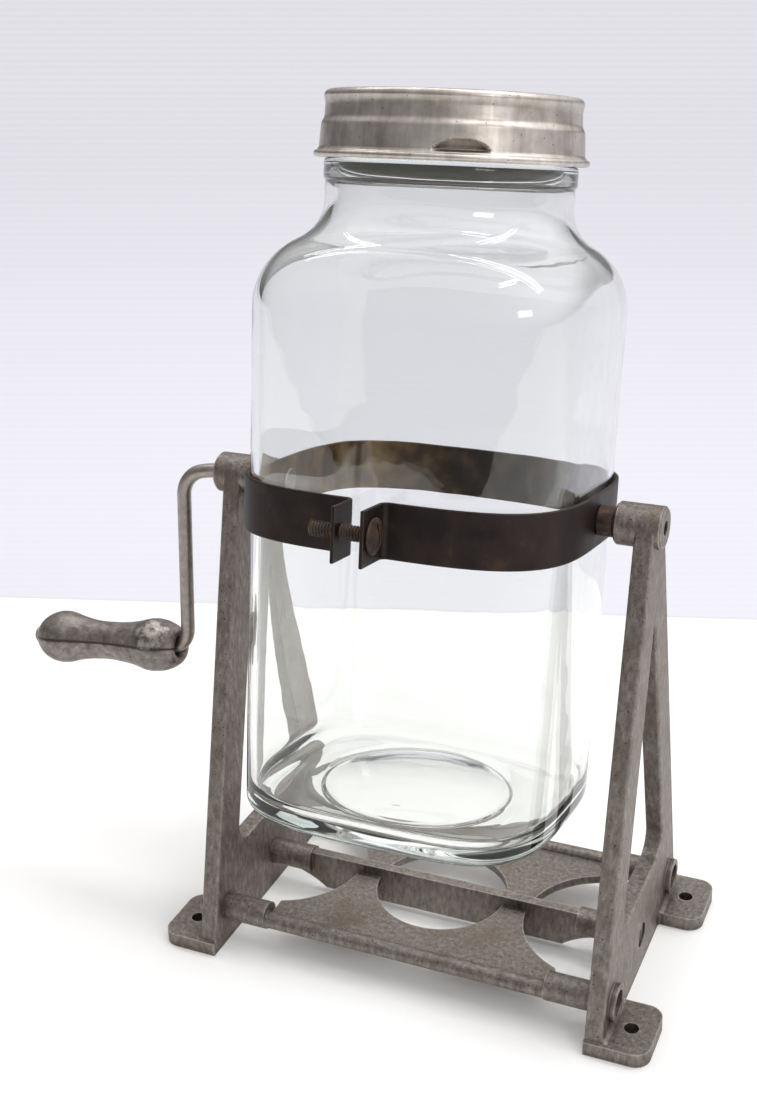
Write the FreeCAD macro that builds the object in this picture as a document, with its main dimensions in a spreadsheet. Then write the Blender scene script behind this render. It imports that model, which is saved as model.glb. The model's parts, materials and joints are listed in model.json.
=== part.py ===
"""Tumbling butter churn: a square glass jar with a metal screw lid, held at its waist by a
steel band that turns on two trunnions between cast aluminium side frames.

Millimetres, +Z up.  The origin lies on the floor, in the centre of the four foot holes.
X runs along the trunnions with the crank at -X, and -Y is the front of the stand.
The jar, its band and its crank are modelled upright round the trunnion axis and then leaned
back together by one angle about that axis.
"""
import FreeCAD, Part
import math
import os

import Sketcher

Vector = FreeCAD.Vector

# Lengths that differ by less than this agree
CLOSE = 1e-4

SIZES = [
    ("axle_height", 213.8, "floor to the trunnion axis"),
    ("jar_lean", 10.66, "degrees that the jar leans back at rest"),
    ("crank_lean", 6.5, "degrees that the crank stands out of plumb at rest"),
    ("frame_inner", 87.5, "middle of the churn to the inner face of a side frame"),
    ("frame_thick", 8.0, "thickness of a side frame"),
    ("frame_spread", 64.2, "half the depth of a side frame at the floor"),
    ("leg_width", 19.0, "width of a frame leg, measured level"),
    ("sill_height", 42.0, "floor to the sill of the frame window"),
    ("sill_round", 8.0, "radius in the lower corners of the window"),
    ("peak_round", 1.6, "radius in the upper corner of the window"),
    ("cast_round", 1.2, "radius along the long edges of a casting"),
    ("boss_radius", 8.8, "outer radius of the bearing boss"),
    ("boss_inner_reach", 9.0, "boss beyond the inner face of its frame"),
    ("left_boss_reach", 5.6, "left boss beyond the outer face"),
    ("right_boss_reach", 2.5, "right boss beyond the outer face"),
    ("boss_chamfer", 0.9, "chamfer round both ends of a boss"),
    ("foot_reach", 19.3, "foot beyond the outer face of its frame"),
    ("foot_length", 32.4, "foot along the frame"),
    ("foot_thick", 6.5, "thickness of a foot"),
    ("foot_round", 7.0, "radius of the outer corners of a foot"),
    ("foot_fillet", 2.5, "cast fillet between a foot and its frame"),
    ("foot_hole_radius", 3.25, "screw hole in a foot"),
    ("foot_hole_out", 8.7, "foot hole beyond the outer face of the frame"),
    ("foot_hole_back", 15.6, "foot hole from the end of the foot"),
    ("tie_height", 17.0, "floor to the axis of the tie screws"),
    ("tie_spacing", 47.5, "middle tie to the front and rear ties"),
    ("tie_boss_radius", 6.3, "outer radius of a tie boss"),
    ("tie_boss_length", 21.0, "length of a tie boss"),
    ("rim_radius", 3.8, "radius of the front and rear rims of the base casting"),
    ("rim_out", 49.5, "middle of the churn to the axis of a rim"),
    ("rim_height", 16.2, "floor to the axis of a rim"),
    ("web_top", 17.0, "floor to the top of the base web"),
    ("web_thick", 4.0, "thickness of the base web"),
    ("middle_hole_radius", 30.5, "round opening in the middle of the base web"),
    ("side_hole_radius", 38.0, "round openings at the sides of the base web"),
    ("side_hole_offset", 80.0, "middle of the churn to the centre of a side opening"),
    ("rib_thick", 4.8, "thickness of the middle rib"),
    ("rib_top", 22.0, "floor to the top of the middle rib"),
    ("rib_bottom", 3.5, "floor to the bottom of the middle rib"),
    ("rib_half_foot", 59.3, "half the length of the deep part of the rib"),
    ("rib_fade", 8.0, "how far the rib runs out under a tie boss"),
    ("rib_end_curve", 40.0, "radius of the rib's lower edge where it rises to a boss"),
    ("screw_radius", 3.175, "quarter inch tie screws and clamp screw"),
    ("screw_clearance", 0.2, "gap round a screw in a plain hole"),
    ("thread_fit", 0.03, "gap round a screw in a tapped hole"),
    ("tie_head_radius", 5.2, "head of a tie screw"),
    ("tie_head_thick", 3.2, "thickness of a tie screw head"),
    ("tie_head_fillet", 1.0, "radius round a tie screw head"),
    ("head_pocket_radius", 5.8, "pocket for a tie screw head"),
    ("head_pocket_depth", 4.0, "depth of that pocket in the face of a frame"),
    ("pad_radius", 8.2, "raised pad round the front and rear pockets"),
    ("pad_reach", 2.7, "pad beyond the outer face of its frame"),
    ("tie_screw_grip", 20.0, "tie screw in the tie boss"),
    ("slot_width", 1.4, "driver slot"),
    ("slot_depth", 1.3, "depth of a driver slot"),
    ("jar_half_width", 64.2, "half the width of the jar below its shoulder"),
    ("jar_taper", 1.8, "how much that half width shrinks down to the heel"),
    ("jar_corner", 26.0, "radius of the jar's upright corners"),
    ("jar_depth", 134.5, "trunnion axis down to the bottom of the jar"),
    ("glass_thick", 3.5, "thickness of the glass walls"),
    ("base_thick", 6.5, "thickness of the glass base at its edge"),
    ("heel_round", 9.0, "radius round the heel of the jar"),
    ("push_up_radius", 38.0, "radius of the push-up under the jar"),
    ("push_up_height", 4.5, "height of the push-up"),
    ("shoulder_start", 79.0, "trunnion axis up to the start of the shoulder"),
    ("shoulder_rise", 41.0, "height of the shoulder"),
    ("shoulder_slope", 63.6, "steepest angle of the shoulder from upright, degrees"),
    ("shoulder_share", 0.633, "share of the shoulder that bulges outward"),
    ("neck_step", 1.2, "neck of the jar beyond the radius of its mouth"),
    ("neck_flat", 0.4, "how far the last square section is from round"),
    ("neck_rise", 16.0, "height of the neck with its bead"),
    ("bead_step", 2.0, "bead under the lid beyond the radius of the mouth"),
    ("bead_height", 8.5, "height of that bead"),
    ("finish_radius", 48.4, "radius of the mouth that the lid goes over"),
    ("finish_rise", 21.3, "height of that mouth"),
    ("seal_thick", 2.2, "thickness of the sealing ring"),
    ("seal_width", 4.6, "width of the sealing ring"),
    ("liner_thick", 1.2, "thickness of the waxed board liner"),
    ("liner_play", 0.3, "edge of the liner to where the crown of the lid starts to roll"),
    ("seat_gap", 0.05, "gap between the flat faces of the closure"),
    ("lid_thick", 0.9, "sheet thickness of the lid"),
    ("lid_play", 1.4, "gap between the mouth and the wall of the lid above its step"),
    ("lid_crown_flare", 0.3, "rolled edge of the crown beyond that wall"),
    ("lid_roll", 2.25, "outer radius of that rolled edge's section"),
    ("lid_step_drop", 10.0, "top of the lid down to that step"),
    ("lid_step_height", 3.1, "height of the step"),
    ("lid_step_out", 1.2, "how far that step stands out"),
    ("lid_skirt_flare", 0.6, "foot of the skirt beyond its top"),
    ("lid_bead_out", 2.1, "rolled bead beyond the foot of the skirt"),
    ("lid_height", 25.6, "height of the lid"),
    ("lug_angle", 23.0, "angle that a pressed lug spans, degrees"),
    ("lug_azimuth", 54.7, "degrees from the right side round to the first lug"),
    ("lug_height", 6.2, "height of a pressed lug"),
    ("lug_low", 3.2, "foot of the lid up to a lug"),
    ("lug_lip", 0.9, "height of a lug's steep lower lip"),
    ("lug_depth", 2.3, "how far a lug is pressed in from the middle of the sheet"),
    ("lug_count", 3, "number of pressed lugs"),
    ("band_thick", 1.5, "thickness of the band steel"),
    ("band_height", 22.0, "height of the band"),
    ("band_fit", 0.3, "gap between the band and the glass, front and back"),
    ("band_stand_off", 1.3, "gap between the band and the glass at the trunnions"),
    ("ear_gap", 11.0, "gap between the ears"),
    ("ear_gap_offset", 1.5, "that gap left of the middle"),
    ("ear_bend", 3.0, "bend radius of an ear at mid thickness"),
    ("left_ear_reach", 17.0, "left ear in front of the band"),
    ("right_ear_reach", 19.5, "right ear in front of the band"),
    ("clamp_screw_out", 10.0, "clamp screw axis in front of the band"),
    ("clamp_screw_tail", 12.0, "clamp screw beyond the left ear"),
    ("clamp_head_radius", 7.1, "head of the clamp screw"),
    ("clamp_head_thick", 2.8, "thickness of the clamp screw head"),
    ("clamp_head_fillet", 0.8, "radius round the clamp screw head"),
    ("rod_radius", 3.175, "quarter inch rod of the crank and the right trunnion"),
    ("bearing_clearance", 0.1, "running gap round a rod"),
    ("rod_head_radius", 5.5, "peened head of a rod inside the band"),
    ("rod_head_thick", 1.0, "thickness of that head"),
    ("collar_radius", 6.25, "collar between the band and a boss"),
    ("end_play", 0.3, "gap between a collar and its boss"),
    ("pin_recess", 3.0, "end of the right trunnion inside its boss"),
    ("crank_offset", 120.6, "middle of the churn to the crank arm"),
    ("crank_throw", 87.0, "trunnion axis to the start of the grip axis"),
    ("crank_sweep", 40.0, "bend radius where the rod leaves the left boss"),
    ("crank_sweep_angle", 15.0, "degrees that the rod turns in that gentle bend"),
    ("grip_bend", 10.0, "bend radius at the foot of the arm"),
    ("grip_droop", 4.8, "degrees that the grip axis drops outward"),
    ("grip_start", 4.3, "corner of the arm to the inner end of the grip"),
    ("grip_length", 77.7, "length of the grip"),
    ("grip_bulb_radius", 12.6, "greatest radius of the grip"),
    ("grip_waist_radius", 9.1, "least radius of the grip"),
    ("inner_bulb_curve", 21.0, "lengthwise curve of the bulb by the arm"),
    ("inner_bulb_inset", 13.0, "fullest place of that bulb from its end of the grip"),
    ("outer_bulb_curve", 16.0, "lengthwise curve of the outer bulb"),
    ("outer_bulb_inset", 14.0, "fullest place of that bulb from its end of the grip"),
    ("grip_mouth_radius", 5.4, "flared mouth of the bore at the arm"),
    ("grip_mouth_depth", 5.0, "depth of that mouth"),
    ("grip_play", 0.4, "gap between the grip and the peened end"),
    ("peen_radius", 3.9, "peened end of the crank rod"),
    ("peen_thick", 2.2, "thickness of that end"),
]

doc = FreeCAD.newDocument("butter_churn")
sheet = doc.addObject("Spreadsheet::Sheet", "Sizes")
for row, (alias, size, note) in enumerate(SIZES, 1):
    sheet.set("A%d" % row, alias)
    sheet.set("B%d" % row, str(size))
    sheet.set("C%d" % row, note)
    sheet.setAlias("B%d" % row, alias)
doc.recompute()

# Places that several pieces share
FRAME_OUTER = "(Sizes.frame_inner + Sizes.frame_thick)"
BOSS_INNER = "(Sizes.frame_inner - Sizes.boss_inner_reach)"
SIDE_REACH = "sqrt(Sizes.frame_spread ^ 2 + Sizes.axle_height ^ 2)"
SIDE_LEAN = ("(acos(Sizes.boss_radius / " + SIDE_REACH + ")"
             " - atan2(Sizes.axle_height; Sizes.frame_spread))")
SIDE_TOUCH_Y = "(Sizes.boss_radius * cos(" + SIDE_LEAN + "))"
SIDE_TOUCH_Z = "(Sizes.axle_height + Sizes.boss_radius * sin(" + SIDE_LEAN + "))"
TIE_BOSS_END = "(Sizes.frame_inner - Sizes.tie_boss_length)"
FOOT_HOLE_X = "(" + FRAME_OUTER + " + Sizes.foot_hole_out)"
FOOT_HOLE_Y = "(Sizes.frame_spread - Sizes.foot_hole_back)"
WAIST = ("(Sizes.jar_half_width - Sizes.jar_taper * Sizes.shoulder_start"
         " / (Sizes.shoulder_start + Sizes.jar_depth))")
BAND_FRONT = "(" + WAIST + " + Sizes.band_fit + Sizes.band_thick)"
BAND_SIDE = "(" + WAIST + " + Sizes.band_stand_off + Sizes.band_thick)"
SCREW_OUT = "(" + BAND_FRONT + " + Sizes.clamp_screw_out)"
LEFT_EAR = "(Sizes.ear_gap / 2 + Sizes.ear_gap_offset + Sizes.band_thick / 2)"
RIGHT_EAR = "(Sizes.ear_gap / 2 - Sizes.ear_gap_offset + Sizes.band_thick / 2)"
ROD_HEAD = "(" + BAND_SIDE + " - Sizes.band_thick - Sizes.rod_head_thick)"
NECK_RADIUS = "(Sizes.finish_radius + Sizes.neck_step)"
BEAD_RADIUS = "(Sizes.finish_radius + Sizes.bead_step)"
NECK_START = "(Sizes.shoulder_start + Sizes.shoulder_rise)"
NECK_TOP = "(" + NECK_START + " + Sizes.neck_rise)"
MOUTH_TOP = "(" + NECK_TOP + " + Sizes.finish_rise)"
SEAL_BOTTOM = "(" + MOUTH_TOP + " + Sizes.seat_gap)"
LINER_BOTTOM = "(" + SEAL_BOTTOM + " + Sizes.seal_thick + Sizes.seat_gap)"
CROWN_BOTTOM = "(" + LINER_BOTTOM + " + Sizes.liner_thick + Sizes.seat_gap)"
LID_TOP = "(" + CROWN_BOTTOM + " + Sizes.lid_thick)"
LID_FOOT = "(" + LID_TOP + " - Sizes.lid_height)"
LID_WALL = "(Sizes.finish_radius + Sizes.lid_play + Sizes.lid_thick)"
LID_CROWN = "(" + LID_WALL + " + Sizes.lid_crown_flare)"
SKIRT_TOP = "(" + LID_WALL + " + Sizes.lid_step_out)"
SKIRT_FOOT = "(" + SKIRT_TOP + " + Sizes.lid_skirt_flare)"
LID_BEAD = "(" + SKIRT_FOOT + " + Sizes.lid_bead_out)"
GRIP_END = "(Sizes.grip_start + Sizes.grip_length)"


def value(expression):
    """The number that an expression on the sheet comes to."""
    result = sheet.evalExpression(expression)
    return float(getattr(result, "Value", result))


def new_body(name):
    """An empty body whose label names its file."""
    body = doc.addObject("PartDesign::Body", name)
    body.Label = name
    return body


def new_sketch(body, name, role, offset="0"):
    """A sketch on one of the body's own origin planes, moved along that plane's normal."""
    sketch = body.newObject("Sketcher::SketchObject", body.Name + "_" + name)
    plane = next(feature for feature in body.Origin.OriginFeatures if feature.Role == role)
    sketch.AttachmentSupport = [(plane, "")]
    sketch.MapMode = "FlatFace"
    sketch.setExpression("AttachmentOffset.Base.z", offset)
    return sketch


def bind(sketch, kind, places, expression):
    """Adds one dimension to a sketch and ties it to the sheet."""
    number = sketch.addConstraint(Sketcher.Constraint(kind, *places, value(expression)))
    sketch.setExpression("Constraints[%d]" % number, expression)


def outline(sketch, corners, closed=True):
    """Draws straight and round stretches through corners given as (across, up) expressions.
    A third entry makes the stretch that ends there an arc of that radius, which turns left,
    or right where the entry starts with a minus sign."""
    start = sketch.GeometryCount
    points = [Vector(value(corner[0]), value(corner[1]), 0) for corner in corners]
    count = len(points) if closed else len(points) - 1
    first = []
    last = []
    for index in range(count):
        begin = points[index]
        end = points[(index + 1) % len(points)]
        corner = corners[(index + 1) % len(points)]
        turns_right = len(corner) > 2 and corner[2].startswith("-")
        first.append(2 if turns_right else 1)
        last.append(1 if turns_right else 2)
        if len(corner) == 2:
            sketch.addGeometry(Part.LineSegment(begin, end), False)
            continue
        radius = value(corner[2].lstrip("-"))
        chord = end - begin
        rise = math.sqrt(radius ** 2 - (chord.Length / 2) ** 2)
        side = Vector(-chord.y, chord.x, 0).normalize() * (-rise if turns_right else rise)
        centre = (begin + end) * 0.5 + side
        spokes = [begin - centre, end - centre]
        if turns_right:
            spokes.reverse()
        angles = [math.atan2(spoke.y, spoke.x) for spoke in spokes]
        if angles[1] < angles[0]:
            angles[1] += 2 * math.pi
        circle = Part.Circle(centre, Vector(0, 0, 1), radius)
        sketch.addGeometry(Part.ArcOfCircle(circle, angles[0], angles[1]), False)
    for index in range(count if closed else count - 1):
        following = (index + 1) % count
        places = (start + index, last[index], start + following, first[following])
        sketch.addConstraint(Sketcher.Constraint("Coincident", *places))
    for index, corner in enumerate(corners):
        if index < count:
            place = (-1, 1, start + index, first[index])
        else:
            place = (-1, 1, start + index - 1, last[index - 1])
        bind(sketch, "DistanceX", place, corner[0])
        bind(sketch, "DistanceY", place, corner[1])
    for index in range(count):
        corner = corners[(index + 1) % len(points)]
        if len(corner) > 2:
            bind(sketch, "Radius", (start + index,), corner[2].lstrip("-"))


def circle(sketch, across, up, radius):
    """Draws a circle with its centre and radius tied to the sheet."""
    number = sketch.GeometryCount
    centre = Vector(value(across), value(up), 0)
    sketch.addGeometry(Part.Circle(centre, Vector(0, 0, 1), value(radius)), False)
    bind(sketch, "DistanceX", (-1, 1, number, 3), across)
    bind(sketch, "DistanceY", (-1, 1, number, 3), up)
    bind(sketch, "Radius", (number,), radius)


def rectangle(sketch, left, low, right, high):
    """Draws a rectangle between two corners tied to the sheet."""
    outline(sketch, [(left, low), (right, low), (right, high), (left, high)])


def rounded_square(sketch, half, corner):
    """Draws a square with round corners about the middle of the sketch."""
    flat = "(%s - %s)" % (half, corner)
    outline(sketch, [
        (flat, "-%s" % half),
        (half, "-%s" % flat, corner),
        (half, flat),
        (flat, half, corner),
        ("-%s" % flat, half),
        ("-%s" % half, flat, corner),
        ("-%s" % half, "-%s" % flat),
        ("-%s" % flat, "-%s" % half, corner),
    ])


def extrude(body, kind, name, sketch, length, backwards=False):
    """A pad or a pocket of one sketch."""
    feature = body.newObject("PartDesign::" + kind, body.Name + "_" + name)
    feature.Profile = sketch
    feature.setExpression("Length", length)
    feature.Reversed = backwards
    doc.recompute()
    return feature


def revolve(body, kind, name, sketch, axis, angle="360"):
    """A revolution or a groove of one sketch about one of its own axes."""
    feature = body.newObject("PartDesign::" + kind, body.Name + "_" + name)
    feature.Profile = sketch
    feature.ReferenceAxis = (sketch, [axis])
    feature.setExpression("Angle", angle)
    feature.Midplane = angle != "360"
    doc.recompute()
    return feature


def loft(body, kind, name, sections, ruled=False):
    """An added or a cut loft through sketches from bottom to top."""
    feature = body.newObject("PartDesign::" + kind, body.Name + "_" + name)
    feature.Profile = sections[0]
    feature.Sections = sections[1:]
    feature.Ruled = ruled
    doc.recompute()
    return feature


def ease(body, kind, name, size, chosen):
    """A fillet or a chamfer on the edges of the body's tip that the test picks."""
    base = body.Tip
    names = ["Edge%d" % number for number, edge in enumerate(base.Shape.Edges, 1) if chosen(edge)]
    feature = body.newObject("PartDesign::" + kind, body.Name + "_" + name)
    feature.Base = (base, names)
    feature.setExpression("Radius" if kind == "Fillet" else "Size", size)
    doc.recompute()
    return feature


def near(number, other):
    """Whether two lengths agree."""
    return abs(number - other) < CLOSE


def lies_along_x(edge, side_y, height):
    """Whether an edge runs along X at the given place."""
    box = edge.BoundBox
    level = box.YLength < CLOSE and box.ZLength < CLOSE
    return level and near(box.YMin, side_y) and near(box.ZMin, height)


def is_ring(edge, place_x, radius):
    """Whether an edge is a circle about an X axis at the given place."""
    curve = edge.Curve
    if not isinstance(curve, Part.Circle):
        return False
    return near(curve.Center.x, place_x) and near(curve.Radius, radius)


def lean_back(body, angle="Sizes.jar_lean"):
    """Turns a piece that was modelled upright about the trunnion axis."""
    body.Placement = FreeCAD.Placement(Vector(0, 0, 0), FreeCAD.Rotation(Vector(1, 0, 0), -1))
    body.setExpression("Placement.Base.z", "Sizes.axle_height")
    body.setExpression("Placement.Rotation.Angle", "-" + angle)
    doc.recompute()
    return body


def side_frame(name, side, outer_reach):
    """One A-shaped casting with its window, feet, bearing boss and counterbored screw holes.
    Its sides run up to touch the boss, and side is 1 on the right and -1 on the left."""
    sign = "" if side > 0 else "-"
    leftward = side < 0
    body = new_body(name)

    plate = new_sketch(body, "plate_outline", "YZ_Plane", sign + "Sizes.frame_inner")
    outline(plate, [
        ("-Sizes.frame_spread", "0"),
        ("Sizes.frame_spread", "0"),
        (SIDE_TOUCH_Y, SIDE_TOUCH_Z),
        ("-" + SIDE_TOUCH_Y, SIDE_TOUCH_Z),
    ])
    extrude(body, "Pad", "plate", plate, "Sizes.frame_thick", leftward)

    feet = new_sketch(body, "feet_outline", "XY_Plane")
    tip = "(%s + Sizes.foot_reach)" % FRAME_OUTER
    left, right = ("Sizes.frame_inner", tip) if side > 0 else ("-" + tip, "-Sizes.frame_inner")
    foot_inner = "(Sizes.frame_spread - Sizes.foot_length)"
    rectangle(feet, left, foot_inner, right, "Sizes.frame_spread")
    rectangle(feet, left, "-Sizes.frame_spread", right, "-" + foot_inner)
    extrude(body, "Pad", "feet", feet, "Sizes.foot_thick")
    outer_face = value(FRAME_OUTER)
    foot_tip = value(tip)
    foot_top = value("Sizes.foot_thick")

    def foot_joint(edge):
        box = edge.BoundBox
        level = box.XLength < CLOSE and box.ZLength < CLOSE
        return level and near(abs(box.XMin), outer_face) and near(box.ZMin, foot_top)

    def foot_corner(edge):
        box = edge.BoundBox
        upright = box.XLength < CLOSE and box.YLength < CLOSE
        return upright and near(abs(box.XMin), foot_tip)

    ease(body, "Fillet", "foot_joints", "Sizes.foot_fillet", foot_joint)
    ease(body, "Fillet", "foot_corners", "Sizes.foot_round", foot_corner)

    window = new_sketch(body, "window_outline", "YZ_Plane", sign + "Sizes.frame_inner")
    tangent = "tan(%s)" % SIDE_LEAN
    sill = "(Sizes.frame_spread - Sizes.sill_height * %s - Sizes.leg_width)" % tangent
    peak = "((Sizes.frame_spread - Sizes.leg_width) / %s)" % tangent
    outline(window, [("-" + sill, "Sizes.sill_height"), (sill, "Sizes.sill_height"), ("0", peak)])
    extrude(body, "Pocket", "window", window, "Sizes.frame_thick", not leftward)
    sill_places = (value(sill), -value(sill))
    sill_height = value("Sizes.sill_height")
    ease(body, "Fillet", "sill_corners", "Sizes.sill_round",
         lambda edge: any(lies_along_x(edge, place, sill_height) for place in sill_places))
    ease(body, "Fillet", "peak_corner", "Sizes.peak_round",
         lambda edge: lies_along_x(edge, 0, value(peak)))
    faces = (value("Sizes.frame_inner"), outer_face)
    top = value(SIDE_TOUCH_Z)

    def long_edge(edge):
        box = edge.BoundBox
        flat = box.XLength < CLOSE and any(near(abs(box.XMin), face) for face in faces)
        return flat and box.ZMax > foot_top + CLOSE and not near(box.ZMin, top)

    ease(body, "Fillet", "cast_edges", "Sizes.cast_round", long_edge)

    boss = new_sketch(body, "boss_outline", "YZ_Plane", sign + BOSS_INNER)
    circle(boss, "0", "Sizes.axle_height", "Sizes.boss_radius")
    boss_length = "(Sizes.boss_inner_reach + Sizes.frame_thick + %s)" % outer_reach
    extrude(body, "Pad", "boss", boss, boss_length, leftward)
    boss_ends = (value(BOSS_INNER), value(BOSS_INNER) + value(boss_length))
    boss_radius = value("Sizes.boss_radius")
    ease(body, "Chamfer", "boss_ends", "Sizes.boss_chamfer",
         lambda edge: any(is_ring(edge, side * end, boss_radius) for end in boss_ends))

    bore = new_sketch(body, "bore_outline", "YZ_Plane", sign + BOSS_INNER)
    circle(bore, "0", "Sizes.axle_height", "Sizes.rod_radius + Sizes.bearing_clearance")
    extrude(body, "Pocket", "bore", bore, boss_length, not leftward)

    pads = new_sketch(body, "pad_outline", "YZ_Plane", sign + FRAME_OUTER)
    for place in ("-Sizes.tie_spacing", "Sizes.tie_spacing"):
        circle(pads, place, "Sizes.tie_height", "Sizes.pad_radius")
    extrude(body, "Pad", "pads", pads, "Sizes.pad_reach", leftward)

    pad_face = "(%s + Sizes.pad_reach)" % FRAME_OUTER
    pockets = new_sketch(body, "head_pocket_outline", "YZ_Plane", sign + pad_face)
    holes = new_sketch(body, "screw_hole_outline", "YZ_Plane", sign + FRAME_OUTER)
    for place in ("-Sizes.tie_spacing", "0", "Sizes.tie_spacing"):
        circle(pockets, place, "Sizes.tie_height", "Sizes.head_pocket_radius")
        circle(holes, place, "Sizes.tie_height", "Sizes.screw_radius + Sizes.screw_clearance")
    pocket_length = "(Sizes.pad_reach + Sizes.head_pocket_depth)"
    extrude(body, "Pocket", "head_pockets", pockets, pocket_length, leftward)
    extrude(body, "Pocket", "screw_holes", holes, "Sizes.frame_thick", leftward)

    foot_holes = new_sketch(body, "foot_hole_outline", "XY_Plane", "Sizes.foot_thick")
    for end in ("", "-"):
        circle(foot_holes, sign + FOOT_HOLE_X, end + FOOT_HOLE_Y, "Sizes.foot_hole_radius")
    extrude(body, "Pocket", "foot_holes", foot_holes, "Sizes.foot_thick")
    return body


def base_casting():
    """The casting that ties the frames: a web with three round openings cut into it, round
    rims at front and rear, a deep rib along the middle and six bosses for the tie screws."""
    body = new_body("base_casting")
    middle = "Sizes.tie_spacing"

    web = new_sketch(body, "web_outline", "XY_Plane", "Sizes.web_top")
    rectangle(web, "-" + TIE_BOSS_END, "-Sizes.rim_out", TIE_BOSS_END, "Sizes.rim_out")
    extrude(body, "Pad", "web", web, "Sizes.web_thick", True)

    openings = new_sketch(body, "opening_outline", "XY_Plane", "Sizes.web_top")
    circle(openings, "0", "0", "Sizes.middle_hole_radius")
    extrude(body, "Pocket", "middle_opening", openings, "Sizes.web_thick")
    for name, sign in (("left", "-"), ("right", "")):
        side = new_sketch(body, name + "_opening_outline", "XY_Plane", "Sizes.web_top")
        circle(side, sign + "Sizes.side_hole_offset", "0", "Sizes.side_hole_radius")
        extrude(body, "Pocket", name + "_opening", side, "Sizes.web_thick")

    rims = new_sketch(body, "rim_outline", "YZ_Plane", "-" + TIE_BOSS_END)
    for place in ("-Sizes.rim_out", "Sizes.rim_out"):
        circle(rims, place, "Sizes.rim_height", "Sizes.rim_radius")
    extrude(body, "Pad", "rims", rims, "2 * " + TIE_BOSS_END)

    rib = new_sketch(body, "rib_outline", "XZ_Plane", "-Sizes.rib_thick / 2")
    rib_end = "(%s + Sizes.rib_fade)" % TIE_BOSS_END
    under_boss = "Sizes.tie_height - sqrt(Sizes.tie_boss_radius ^ 2 - (Sizes.rib_thick / 2) ^ 2)"
    outline(rib, [
        ("-Sizes.rib_half_foot", "Sizes.rib_bottom", "-Sizes.rib_end_curve"),
        ("Sizes.rib_half_foot", "Sizes.rib_bottom"),
        (rib_end, under_boss, "-Sizes.rib_end_curve"),
        (rib_end, "Sizes.tie_height"),
        (TIE_BOSS_END, "Sizes.tie_height"),
        (TIE_BOSS_END, "Sizes.rib_top"),
        ("-" + TIE_BOSS_END, "Sizes.rib_top"),
        ("-" + TIE_BOSS_END, "Sizes.tie_height"),
        ("-" + rib_end, "Sizes.tie_height"),
        ("-" + rib_end, under_boss),
    ])
    extrude(body, "Pad", "rib", rib, "Sizes.rib_thick")

    for name, sign in (("left", "-"), ("right", "")):
        bosses = new_sketch(body, name + "_boss_outline", "YZ_Plane", sign + "Sizes.frame_inner")
        holes = new_sketch(body, name + "_tapping_outline", "YZ_Plane", sign + "Sizes.frame_inner")
        for place in ("-" + middle, "0", middle):
            circle(bosses, place, "Sizes.tie_height", "Sizes.tie_boss_radius")
            circle(holes, place, "Sizes.tie_height", "Sizes.screw_radius + Sizes.thread_fit")
        extrude(body, "Pad", name + "_bosses", bosses, "Sizes.tie_boss_length", sign == "")
        depth = "(Sizes.tie_screw_grip + Sizes.screw_clearance)"
        extrude(body, "Pocket", name + "_tappings", holes, depth, sign == "-")
    return body


def slotted_screws(name, places, seat, length, head):
    """Round-headed screws with a driver slot, one for each (across, up, direction) place.
    They lie along X: seat is where the head bears and the shank runs on by length."""
    head_radius = value("Sizes.%s_head_radius" % head)
    head_thick = value("Sizes.%s_head_thick" % head)
    head_fillet = value("Sizes.%s_head_fillet" % head)
    slot_depth = value("Sizes.slot_depth")
    slot_width = value("Sizes.slot_width")
    solids = []
    for across, up, direction in places:
        axis = Vector(direction, 0, 0)
        bearing = Vector(-direction * value(seat), value(across), value(up))
        shank = Part.makeCylinder(value("Sizes.screw_radius"), value(length), bearing, axis)
        round_head = Part.makeCylinder(head_radius, head_thick, bearing, axis * -1)
        rim = [edge for edge in round_head.Edges if isinstance(edge.Curve, Part.Circle)
               and abs(edge.Curve.Center.x) > abs(bearing.x) + CLOSE]
        screw = shank.fuse(round_head.makeFillet(head_fillet, rim))
        slot = Part.makeBox(2 * slot_depth, slot_width, 4 * head_radius)
        corner = Vector(slot_depth, slot_width / 2, 2 * head_radius)
        slot.translate(bearing - axis * head_thick - corner)
        solids.append(screw.cut(slot))
    feature = doc.addObject("Part::Feature", name)
    feature.Label = name
    feature.Shape = Part.makeCompound(solids)
    return feature


def tie_screws(name, place):
    """The two screws that hold one tie of the base casting, one from each side frame."""
    seat = "(%s - Sizes.head_pocket_depth)" % FRAME_OUTER
    length = "(Sizes.frame_thick - Sizes.head_pocket_depth + Sizes.tie_screw_grip)"
    places = [(place, "Sizes.tie_height", -1), (place, "Sizes.tie_height", 1)]
    return slotted_screws(name, places, seat, length, "tie")


def jar_section(body, name, height, half, corner):
    """One level section of the jar."""
    sketch = new_sketch(body, name, "XY_Plane", height)
    rounded_square(sketch, half, corner)
    return sketch


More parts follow.
